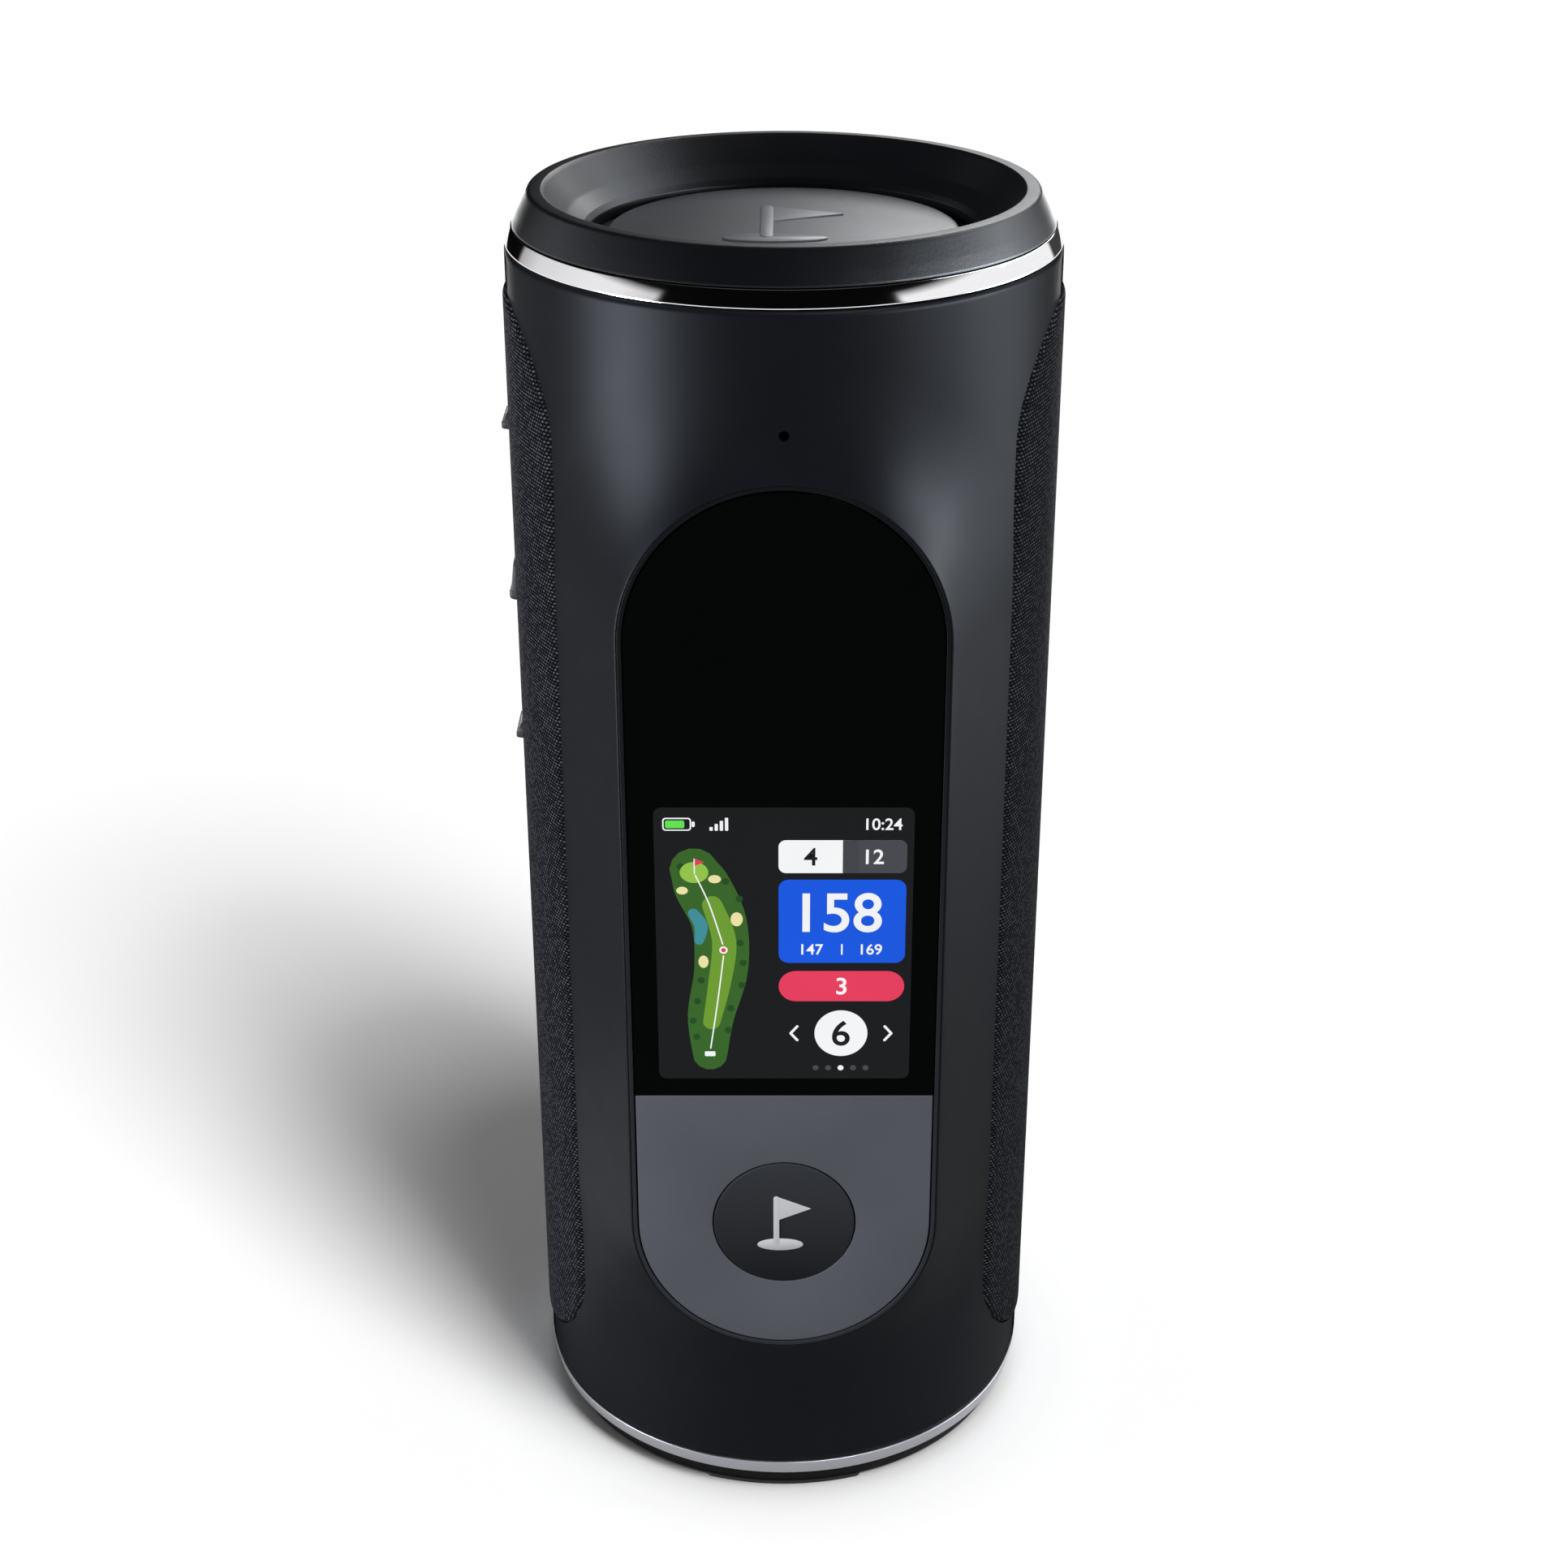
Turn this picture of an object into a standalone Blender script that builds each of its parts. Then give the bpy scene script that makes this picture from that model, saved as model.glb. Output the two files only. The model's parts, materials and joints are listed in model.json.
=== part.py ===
"""Portable golf GPS speaker: a can-shaped body with a flat display face, side grilles and end radiators.

Metres, +Z up. The origin is on the floor under the body's axis, and the display faces -Y.
"""

import math

import bmesh
import bpy
from mathutils import Matrix, Vector

# Gaps between neighbouring pieces
SEAM = 0.00015
FIT = 0.0003

# Body and the rings stacked on its ends
BODY_RADIUS = 0.0410
WALL = 0.0030
HOUSING_HEIGHT = 0.1934
BASE_HEIGHT = 0.00375
TRIM_HEIGHT = 0.0025
BUMPER_HEIGHT = 0.0049
TRIM_TAPER = 0.0011
BASE_TAPER = 0.0018
CREST_INSET = 0.0030
CREST_WIDTH = 0.0010
CREST_DROP = 0.0003
FOOT_DEPTH = 0.0004
FOOT_WIDTH = 0.0042
FOOT_HALF_ANGLE = 18.0
FOOT_COUNT = 4

# Passive radiators, the same at both ends
RIM_WIDTH = 0.00875
MOUTH_DEPTH = 0.0024
FUNNEL_CURVE = ((0.45, 0.30), (0.78, 0.64))
SEAT_DEPTH = 0.0031
DISC_GAP = 0.0029
DISC_THICKNESS = 0.0023
DISC_DOME = 0.0009
DISC_SHOULDER = 0.55
DISC_SHOULDER_RISE = 0.72
DISC_EDGE = 0.0004
SURROUND_THICKNESS = 0.0006
SURROUND_LIP = 0.0023
FRAME_HEIGHT = 0.0044
FRAME_STEP = 0.0010
FRAME_BORE_CLEARANCE = 0.0012
SCREW_RADIUS = 0.0010
SCREW_HEAD_RADIUS = 0.0019
SCREW_HEAD_HEIGHT = 0.0018
SCREW_BITE = 0.0036
SCREW_COUNT = 4

# Flat front face
FACE_HALF_WIDTH = 0.02275
FACE_BOTTOM_MARGIN = 0.0247
FACE_TOP_MARGIN = 0.0253
FACE_RIM = 0.00025
NOSE_LEAST = 0.0012
BEZEL_WIDTH = 0.0006
RECESS_DEPTH = 0.0016
PLATE_HEIGHT = 0.0461
BUTTON_RADIUS = 0.0110
BUTTON_TRAVEL = 0.0005
BUTTON_STEM_RADIUS = 0.0035
DISPLAY_WIDTH = 0.0400
DISPLAY_HEIGHT = 0.0480
DISPLAY_RISE = 0.0022
DISPLAY_THICKNESS = 0.0023
PINHOLE_RADIUS = 0.00075
PINHOLE_RISE = 0.0080
MICROPHONE_RADIUS = 0.0030
MICROPHONE_DEPTH = 0.0025

# Side panels and the keys on the left one
PANEL_HALF_WIDTH = 0.0248
PANEL_END_MARGIN = 0.0064
PANEL_CORNER = 0.0180
FABRIC_PROUD = 0.0005
FABRIC_THICKNESS = 0.0009
GRILLE_PORT_RADIUS = 0.0212
GRILLE_SLOT_HEIGHT = 0.0060
GRILLE_SLOT_COUNT = 2
KEY_PITCH = 0.0255
KEY_DROP = 0.0463
KEY_WIDTH = 0.0090
VOLUME_KEY_HEIGHT = 0.0030
PLAY_KEY_HEIGHT = 0.0070
KEY_PROUD = 0.00085
KEY_SLOPE = 0.0006
KEY_TRAVEL = 0.0005

# Drivers behind the side panels
DRIVER_RADIUS = 0.0225
DRIVER_FLANGE = 0.0016
DRIVER_CLEARANCE = 0.0040
CONE_RADIUS = 0.0162
COIL_RADIUS = 0.0060
BASKET_THROAT_RADIUS = 0.0078
BASKET_SEAT_RADIUS = 0.0206
DRIVER_LIP = 0.0008
BASKET_DEPTH = 0.0165
BASKET_WALL = 0.0012
MAGNET_RADIUS = 0.0130
CONE_TRAVEL = 0.0015

# Chassis and electronics
SPINE_THICKNESS = 0.0030
BULKHEAD_THICKNESS = 0.0025
BULKHEAD_VENT_RADIUS = 0.0100
CELL_RADIUS = 0.0106
CELL_HEIGHT = 0.0700
CELL_CAP_RADIUS = 0.0042
CELL_CAP_HEIGHT = 0.0018
BOARD_THICKNESS = 0.0016
DISPLAY_BOARD_GAP = 0.0024
DISPLAY_BOARD_WIDTH = 0.0380
MAIN_BOARD_WIDTH = 0.0360
MAIN_BOARD_HEIGHT = 0.0880
MAIN_BOARD_INSET = 0.0058
ANTENNA_SIDE = 0.0180
ANTENNA_THICKNESS = 0.0040
KEY_BOARD_WIDTH = 0.0090
KEY_BOARD_THICKNESS = 0.0012
PORT_WIDTH = 0.0090
PORT_HEIGHT = 0.0032
PORT_RISE = 0.0120
COVER_WIDTH = 0.0220
COVER_HEIGHT = 0.0110
COVER_THICKNESS = 0.0016
COVER_CORNER = 0.0030
COVER_POCKET = 0.0021
COVER_HINGE_RISE = 0.0005
COVER_HINGE_GAP = 0.00055

# Facet counts
ROUND_STEPS = 48
RADIATOR_STEPS = 32
INNER_STEPS = 20
SMALL_STEPS = 9
ROLL_STEPS = 4
ARC_STEPS = 7
BACK_STEPS = 20

# Heights that follow from the stack
HOUSING_BOTTOM = BASE_HEIGHT + TRIM_HEIGHT + 2 * SEAM
HOUSING_TOP = HOUSING_BOTTOM + HOUSING_HEIGHT
BUMPER_BOTTOM = HOUSING_TOP + TRIM_HEIGHT + 2 * SEAM
BUMPER_TOP = BUMPER_BOTTOM + BUMPER_HEIGHT
TOP_SEAT = BUMPER_BOTTOM - SEAT_DEPTH
BOTTOM_SEAT = BASE_HEIGHT + SEAT_DEPTH
BORE_RADIUS = BODY_RADIUS - WALL
SPIGOT_RADIUS = BORE_RADIUS - FIT - SEAM
MOUTH_RADIUS = SPIGOT_RADIUS - RIM_WIDTH
DISC_RADIUS = MOUTH_RADIUS - DISC_GAP

# Face outline: a pill on the plane that touches the body's front line
FACE_Y = -BODY_RADIUS
FACE_BOTTOM = HOUSING_BOTTOM + FACE_BOTTOM_MARGIN
FACE_TOP = HOUSING_TOP - FACE_TOP_MARGIN
PLATE_TOP = FACE_BOTTOM + PLATE_HEIGHT
BUTTON_Z = FACE_BOTTOM + FACE_HALF_WIDTH
BEZEL_INNER = SEAM
BEZEL_OUTER = BEZEL_INNER + BEZEL_WIDTH
RECESS_MARGIN = BEZEL_OUTER + SEAM
CREASE_MARGIN = RECESS_MARGIN + FACE_RIM
FLOOR_Y = FACE_Y + RECESS_DEPTH
FACE_BACK_Y = FLOOR_Y - FIT
DISPLAY_Z = PLATE_TOP + DISPLAY_RISE + DISPLAY_HEIGHT / 2
DISPLAY_BACK_Y = FACE_BACK_Y + FIT + DISPLAY_THICKNESS
DISPLAY_BOARD_Y = DISPLAY_BACK_Y + DISPLAY_BOARD_GAP

# Side panels
PANEL_BOTTOM = HOUSING_BOTTOM + PANEL_END_MARGIN
PANEL_TOP = HOUSING_TOP - PANEL_END_MARGIN
FABRIC_OUTER = BODY_RADIUS + FABRIC_PROUD
FABRIC_INNER = FABRIC_OUTER - FABRIC_THICKNESS
GRILLE_OUTER = FABRIC_INNER - FIT
KEY_MIDDLE_Z = PANEL_TOP - KEY_DROP

# Inside
SCREW_CIRCLE = SPIGOT_RADIUS - SCREW_HEAD_RADIUS - FIT
END_DEPTH = FRAME_HEIGHT + 2 * FIT + SCREW_HEAD_HEIGHT
LOWER_BULKHEAD = BOTTOM_SEAT + END_DEPTH + 2 * FIT
UPPER_BULKHEAD = TOP_SEAT - END_DEPTH - ANTENNA_THICKNESS - 2 * FIT - BULKHEAD_THICKNESS
DRIVER_Z = LOWER_BULKHEAD + BULKHEAD_THICKNESS + DRIVER_RADIUS + DRIVER_CLEARANCE
MIDDLE_BULKHEAD = DRIVER_Z + DRIVER_RADIUS + DRIVER_CLEARANCE
FLANGE_X = math.sqrt((BORE_RADIUS - SEAM) ** 2 - DRIVER_RADIUS ** 2) - FIT
MAGNET_X = SPINE_THICKNESS / 2 + FIT
BASKET_X = FLANGE_X - BASKET_DEPTH
MAIN_BOARD_Y = math.sqrt(BORE_RADIUS ** 2 - (MAIN_BOARD_WIDTH / 2) ** 2) - MAIN_BOARD_INSET
MAIN_BOARD_Z = LOWER_BULKHEAD + BULKHEAD_THICKNESS + FIT
PORT_Z = MAIN_BOARD_Z + PORT_RISE

# Ways that an outline can face: front looks along Y, side along X, up along Z
FRONT = Matrix(((1, 0, 0), (0, 0, -1), (0, 1, 0))).to_4x4()
SIDE = Matrix(((0, 0, 1), (1, 0, 0), (0, 1, 0))).to_4x4()
UP = Matrix.Identity(4)


def clear_scene():
    for obj in list(bpy.data.objects):
        bpy.data.objects.remove(obj, do_unlink=True)


def new_collection(name):
    collection = bpy.data.collections.new(name)
    bpy.context.scene.collection.children.link(collection)
    return collection


def new_material(name, color, roughness, metallic=0.0):
    material = bpy.data.materials.new(name)
    material.use_nodes = True
    shader = material.node_tree.nodes["Principled BSDF"]
    shader.inputs["Base Color"].default_value = (*color, 1.0)
    shader.inputs["Roughness"].default_value = roughness
    shader.inputs["Metallic"].default_value = metallic
    return material


clear_scene()
PARTS = new_collection("golf_gps_speaker")
CUTTERS = new_collection("cutters")
SHELL = new_material("shell_plastic", (0.030, 0.033, 0.040), 0.45)
BUMPER_RUBBER = new_material("bumper_rubber", (0.020, 0.022, 0.026), 0.60)
CHROME = new_material("polished_trim", (0.80, 0.80, 0.82), 0.08, 1.0)
SATIN = new_material("satin_trim", (0.50, 0.51, 0.53), 0.35, 1.0)
CLOTH = new_material("grille_cloth", (0.022, 0.025, 0.032), 0.90)
GLASS = new_material("display_glass", (0.004, 0.004, 0.004), 0.06)
PLATE = new_material("plate_plastic", (0.080, 0.086, 0.100), 0.50)
BUTTON = new_material("button_plastic", (0.012, 0.013, 0.016), 0.40)
KEY_RUBBER = new_material("key_rubber", (0.070, 0.075, 0.085), 0.60)
SCREEN = new_material("screen", (0.010, 0.010, 0.012), 0.30)
BOARD = new_material("circuit_board", (0.010, 0.090, 0.040), 0.40)
STEEL = new_material("steel", (0.55, 0.55, 0.56), 0.30, 1.0)
INNER_PLASTIC = new_material("inner_plastic", (0.040, 0.040, 0.042), 0.60)
CONE_PAPER = new_material("cone", (0.030, 0.030, 0.030), 0.80)
SOFT_RUBBER = new_material("surround_rubber", (0.012, 0.012, 0.013), 0.70)
CELL_WRAP = new_material("cell_wrap", (0.030, 0.160, 0.300), 0.35)
CERAMIC = new_material("antenna_ceramic", (0.700, 0.660, 0.560), 0.50)


def place(obj, material, matrix=None):
    """Puts a part in the parts collection, or a cutter, which has no material, among the cutters."""
    (PARTS if material else CUTTERS).objects.link(obj)
    if matrix is not None:
        obj.matrix_world = matrix
    if material:
        obj.data.materials.append(material)
    else:
        obj.hide_render = True
        obj.display_type = "WIRE"
    return obj


def cut(obj, cutter, operation="DIFFERENCE"):
    modifier = obj.modifiers.new(operation.lower() + "_" + cutter.name, "BOOLEAN")
    modifier.operation = operation
    modifier.object = cutter


def soften(obj, angle=35.0):
    obj.data.shade_smooth()
    obj.data.set_sharp_from_angle(angle=math.radians(angle))


def arc(center, radius, start, end, steps=ARC_STEPS):
    """Points on an arc from start to end, in degrees."""
    angles = [math.radians(start + (end - start) * i / steps) for i in range(steps + 1)]
    return [(center[0] + radius * math.cos(a), center[1] + radius * math.sin(a)) for a in angles]


def rounded(half_width, bottom, top, corner, steps=ARC_STEPS):
    """Outline of an upright rectangle with round corners."""
    x, low, high = half_width - corner, bottom + corner, top - corner
    return (
        arc((x, low), corner, -90, 0, steps)
        + arc((x, high), corner, 0, 90, steps)
        + arc((-x, high), corner, 90, 180, steps)
        + arc((-x, low), corner, 180, 270, steps)
    )


def face_pill(margin):
    """The face's outline, grown by a margin."""
    half_width = FACE_HALF_WIDTH + margin
    low, high = FACE_BOTTOM + FACE_HALF_WIDTH, FACE_TOP - FACE_HALF_WIDTH
    steps = 2 * ARC_STEPS
    return arc((0, high), half_width, 0, 180, steps) + arc((0, low), half_width, 180, 360, steps)


def prism(name, outline, low, high, facing, material=None, origin=(0, 0, 0)):
    """A flat outline made solid between two depths, counted from its origin along the way it faces."""
    curve = bpy.data.curves.new(name, "CURVE")
    curve.dimensions = "2D"
    curve.fill_mode = "BOTH"
    curve.extrude = (high - low) / 2
    spline = curve.splines.new("POLY")
    spline.points.add(len(outline) - 1)
    for point, (x, y) in zip(spline.points, outline):
        point.co = (x, y, 0, 1)
    spline.use_cyclic_u = True
    guide = bpy.data.objects.new(name, curve)
    bpy.context.scene.collection.objects.link(guide)
    bpy.context.view_layer.update()
    mesh = bpy.data.meshes.new_from_object(guide.evaluated_get(bpy.context.evaluated_depsgraph_get()))
    bpy.data.objects.remove(guide)
    depth = (low + high) / 2 * (-1 if facing is FRONT else 1)
    shape = bmesh.new()
    shape.from_mesh(mesh)
    bmesh.ops.remove_doubles(shape, verts=shape.verts, dist=1e-6)
    bmesh.ops.translate(shape, verts=shape.verts, vec=(0, 0, depth))
    bmesh.ops.recalc_face_normals(shape, faces=shape.faces)
    shape.to_mesh(mesh)
    shape.free()
    mesh.materials.clear()
    obj = place(bpy.data.objects.new(name, mesh), material, Matrix.Translation(Vector(origin)) @ facing)
    soften(obj)
    return obj


def box(name, low, high, material=None):
    """A box between two corners, with its origin at its centre."""
    low, high = Vector(low), Vector(high)
    mesh = bpy.data.meshes.new(name)
    shape = bmesh.new()
    bmesh.ops.create_cube(shape, size=1.0)
    bmesh.ops.scale(shape, verts=shape.verts, vec=high - low)
    shape.to_mesh(mesh)
    shape.free()
    return place(bpy.data.objects.new(name, mesh), material, Matrix.Translation((low + high) / 2))


def turned(name, profile, material=None, steps=ROUND_STEPS, matrix=None, closed=True):
    """A profile of (radius, height) points, down its outer side, spun about Z."""
    mesh = bpy.data.meshes.new(name)
    count = len(profile)
    edges = [(i, i + 1) for i in range(count - 1)] + ([(count - 1, 0)] if closed else [])
    mesh.from_pydata([(radius, 0, height) for radius, height in profile], edges, [])
    obj = place(bpy.data.objects.new(name, mesh), material, matrix)
    screw = obj.modifiers.new("spin", "SCREW")
    screw.steps = steps
    screw.render_steps = steps
    screw.use_merge_vertices = True
    screw.merge_threshold = 1e-6
    screw.use_smooth_shade = True
    screw.use_normal_calculate = False
    return obj


def rod(name, radius, low, high, material=None, steps=SMALL_STEPS, matrix=None):
    """A plain round bar along Z."""
    return turned(name, [(0, high), (radius, high), (radius, low), (0, low)], material, steps, matrix, False)


def along_x(side, z):
    """Turns local +Z out to the right (side 1) or the left (side -1), at a height."""
    return Matrix.Translation((0, 0, z)) @ Matrix.Rotation(math.radians(90 * side), 4, "Y")


def along_y(x, z):
    """Turns local +Z to the back."""
    return Matrix.Translation((x, 0, z)) @ Matrix.Rotation(math.radians(-90), 4, "X")


# Housing: a loft from round ends to a section with a flat nose and two flat cheeks

def nose_half_width(z):
    """Half the flat's width at a height; a hair's width where the section is round."""
    half_width = FACE_HALF_WIDTH + CREASE_MARGIN
    low, high = FACE_BOTTOM + FACE_HALF_WIDTH, FACE_TOP - FACE_HALF_WIDTH
    rise = max(low - z, z - high, 0)
    return math.sqrt(max(half_width ** 2 - rise ** 2, NOSE_LEAST ** 2))


def body_section(z):
    """Half the outline at a height, from the front line round to the back line."""
    edge = math.atan(nose_half_width(z) / BODY_RADIUS)
    points = [(BODY_RADIUS * math.tan(edge * i / 2), FACE_Y) for i in range(3)]
    for i in (1, 2):
        angle = edge * (1 + i / 2)
        radius = BODY_RADIUS / math.cos(angle - 2 * edge)
        points.append((radius * math.sin(angle), -radius * math.cos(angle)))
    for i in range(1, BACK_STEPS + 1):
        angle = 2 * edge + (math.pi - 2 * edge) * i / BACK_STEPS
        points.append((BODY_RADIUS * math.sin(angle), -BODY_RADIUS * math.cos(angle)))
    return points


def body_heights():
    """Heights of the sections: close together where the face's ends are round."""
    reach = FACE_HALF_WIDTH + CREASE_MARGIN
    low, high = FACE_BOTTOM + FACE_HALF_WIDTH, FACE_TOP - FACE_HALF_WIDTH
    angles = [math.pi / 2 * i / ARC_STEPS for i in range(ARC_STEPS + 1)]
    lower = [low - reach * math.cos(a) for a in angles]
    upper = [high + reach * math.sin(a) for a in angles]
    return [HOUSING_BOTTOM] + lower + upper + [HOUSING_TOP]


def make_housing():
    """Outer and inner skins of the loft, joined at both rims, then cut for the face, windows and holes."""
    shape = bmesh.new()
    skins = []
    for scale in (1, BORE_RADIUS / BODY_RADIUS):
        rings = []
        for z in body_heights():
            half = body_section(z)
            outline = half + [(-x, y) for x, y in reversed(half[1:-1])]
            rings.append([shape.verts.new((scale * x, scale * y, z)) for x, y in outline])
        skins.append(rings)
    outer, inner = skins
    loops = outer + inner[::-1] + outer[:1]
    for lower, upper in zip(loops, loops[1:]):
        for i in range(len(lower)):
            j = (i + 1) % len(lower)
            shape.faces.new((lower[i], lower[j], upper[j], upper[i]))
    mesh = bpy.data.meshes.new("housing")
    shape.to_mesh(mesh)
    shape.free()
    housing = place(bpy.data.objects.new("housing", mesh), SHELL)
    soften(housing, 25.0)
    deep = WALL + BODY_RADIUS
    cut(housing, prism("face_recess", face_pill(RECESS_MARGIN), FACE_Y - WALL, FLOOR_Y, FRONT))
    window = rounded(DISPLAY_WIDTH / 2 + FIT, DISPLAY_Z - DISPLAY_HEIGHT / 2 - FIT,
                     DISPLAY_Z + DISPLAY_HEIGHT / 2 + FIT, SEAM * 4, 2)
    cut(housing, prism("display_window", window, FACE_Y - WALL, FACE_Y + 2 * WALL, FRONT))
    cut(housing, rod("stem_hole", BUTTON_STEM_RADIUS + FIT, -deep, FACE_Y + 2 * WALL,
                     matrix=along_y(0, BUTTON_Z)))
    cut(housing, rod("pinhole", PINHOLE_RADIUS, -deep, FACE_Y + 2 * WALL,
                     matrix=along_y(0, FACE_TOP + PINHOLE_RISE)))
    cut(housing, prism("side_windows", panel_outline(0), -deep, deep, SIDE))
    cut(housing, cover_shell("cover_pocket", BODY_RADIUS - COVER_POCKET, deep, FIT, COVER_HINGE_GAP))
    opening = rounded(PORT_WIDTH / 2 + FIT, PORT_Z - PORT_HEIGHT / 2 - FIT, PORT_Z + PORT_HEIGHT / 2 + FIT,
                      PORT_HEIGHT / 2, 4)
    cut(housing, prism("port_opening", opening, BORE_RADIUS - WALL, deep, FRONT))


def panel_outline(inset):
    return rounded(PANEL_HALF_WIDTH - inset, PANEL_BOTTOM + inset, PANEL_TOP - inset, PANEL_CORNER - inset)


# Rings and radiators at the two ends

def make_top_bumper():
    outer = BODY_RADIUS - TRIM_TAPER - SEAM
    crest = outer - CREST_INSET
    lip = crest - CREST_WIDTH
    mouth = TOP_SEAT + MOUTH_DEPTH
    lip_top = BUMPER_TOP - CREST_DROP
    funnel = [(MOUTH_RADIUS + across * (lip - MOUTH_RADIUS), mouth + up * (lip_top - mouth))
              for across, up in FUNNEL_CURVE]
    profile = [
        (lip, lip_top),
        (crest, BUMPER_TOP),
        (outer, BUMPER_BOTTOM),
        (SPIGOT_RADIUS, BUMPER_BOTTOM),
        (SPIGOT_RADIUS, TOP_SEAT),
        (MOUTH_RADIUS, TOP_SEAT),
        (MOUTH_RADIUS, mouth),
    ] + funnel
    bumper = turned("top_bumper", profile, BUMPER_RUBBER)
    for cutter in screw_holes("top_bumper", TOP_SEAT, 1):
        cut(bumper, cutter)


def make_base_bumper():
    outer = BODY_RADIUS - TRIM_TAPER / 2 - SEAM
    foot = outer - BASE_TAPER
    profile = [
        (SPIGOT_RADIUS, BOTTOM_SEAT),
        (SPIGOT_RADIUS, BASE_HEIGHT),
        (outer, BASE_HEIGHT),
        (foot, 0),
        (foot - FOOT_WIDTH, 0),
        (MOUTH_RADIUS, BOTTOM_SEAT - MOUTH_DEPTH),
        (MOUTH_RADIUS, BOTTOM_SEAT),
    ]
    base = turned("base_bumper", profile, BUMPER_RUBBER)
    for cutter in screw_holes("base_bumper", BOTTOM_SEAT, -1):
        cut(base, cutter)
    spacing = 360 / FOOT_COUNT
    for i in range(FOOT_COUNT):
        middle = spacing * (i + 0.5)
        spread = spacing / 2 - FOOT_HALF_ANGLE
        wedge = [(0, 0)] + arc((0, 0), 2 * BODY_RADIUS, middle - spread, middle + spread, 2)
        cut(base, prism(f"foot_gap_{i + 1}", wedge, -BASE_HEIGHT, FOOT_DEPTH, UP))


def make_trims():
    inner = SPIGOT_RADIUS + FIT
    low, high = HOUSING_TOP + SEAM, BUMPER_BOTTOM - SEAM
    upper = BODY_RADIUS - TRIM_TAPER
    turned("top_trim_ring", [(upper, high), (BODY_RADIUS, low), (inner, low), (inner, high)], CHROME)
    low, high = BASE_HEIGHT + SEAM, HOUSING_BOTTOM - SEAM
    lower = BODY_RADIUS - TRIM_TAPER / 2
    turned("bottom_trim_ring", [(BODY_RADIUS, high), (lower, low), (inner, low), (inner, high)], SATIN)


def end_profile(points, seat, way):
    """Points given outwards from a seat: way 1 for the top end, -1, in the other order, for the bottom."""
    profile = [(radius, seat + way * height) for radius, height in points]
    return profile if way > 0 else profile[::-1]


def half_roll(inner, outer, lip):
    """Section of a surround: a half-round roll that rises between two radii, and a flat lip outside it."""
    thick = SURROUND_THICKNESS
    middle, radius = (inner + outer) / 2, (outer - inner) / 2
    over = arc((middle, 0), radius, 180, 0, ROLL_STEPS)
    under = arc((middle, 0), radius - thick, 0, 180, ROLL_STEPS)
    edge = [(lip, 0), (lip, -thick), (outer - thick, -thick)]
    return over + edge + under + [(inner + thick, -thick), (inner, -thick)]


def screw_places():
    for i in range(SCREW_COUNT):
        angle = math.radians(45 + 360 * i / SCREW_COUNT)
        yield Matrix.Translation((SCREW_CIRCLE * math.cos(angle), SCREW_CIRCLE * math.sin(angle), 0))


def screw_holes(name, seat, way):
    """Cutters for the screws of one end, long enough for the frame and the bumper."""
    reach = sorted((seat - way * 2 * FRAME_HEIGHT, seat + way * (SCREW_BITE + FIT)))
    return [rod(f"{name}_hole_{i + 1}", SCREW_RADIUS + FIT, *reach, steps=SMALL_STEPS, matrix=matrix)
            for i, matrix in enumerate(screw_places())]


def make_radiator(end, seat, way):
    lip_outer = MOUTH_RADIUS + SURROUND_LIP + SEAM
    frame_top = -FIT
    step = frame_top - FRAME_STEP
    bottom = frame_top - FRAME_HEIGHT
    bore = MOUTH_RADIUS + FRAME_BORE_CLEARANCE
    frame = turned(f"{end}_radiator_frame", end_profile([
        (SPIGOT_RADIUS, frame_top),
        (SPIGOT_RADIUS, bottom),
        (bore, bottom),
        (bore, step),
        (lip_outer + FIT, step),
        (lip_outer + FIT, frame_top),
    ], seat, way), INNER_PLASTIC, RADIATOR_STEPS)
    for cutter in screw_holes(f"{end}_frame", seat, way):
        cut(frame, cutter)

    low = step + FIT
    turned(f"{end}_radiator_surround",
           end_profile(half_roll(DISC_RADIUS + FIT, bore - FIT, lip_outer), seat + way * low, -way),
           SOFT_RUBBER, RADIATOR_STEPS)

    turned(f"{end}_radiator_disc", end_profile([
        (0, DISC_THICKNESS + DISC_DOME),
        (DISC_RADIUS * DISC_SHOULDER, DISC_THICKNESS + DISC_DOME * DISC_SHOULDER_RISE),
        (DISC_RADIUS - DISC_EDGE, DISC_THICKNESS),
        (DISC_RADIUS, DISC_THICKNESS - DISC_EDGE),
        (DISC_RADIUS, 0),
        (0, 0),
    ], 0, way), INNER_PLASTIC, ROUND_STEPS, Matrix.Translation((0, 0, seat + way * low)), False)

    head_top = bottom - FIT
    for i, matrix in enumerate(screw_places()):
        turned(f"{end}_screw_{i + 1}", end_profile([
            (0, SCREW_BITE),
            (SCREW_RADIUS, SCREW_BITE),
            (SCREW_RADIUS, head_top),
            (SCREW_HEAD_RADIUS, head_top),
            (SCREW_HEAD_RADIUS, head_top - SCREW_HEAD_HEIGHT),
            (0, head_top - SCREW_HEAD_HEIGHT),
        ], seat, way), STEEL, SMALL_STEPS, matrix, False)


# Front face

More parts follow.
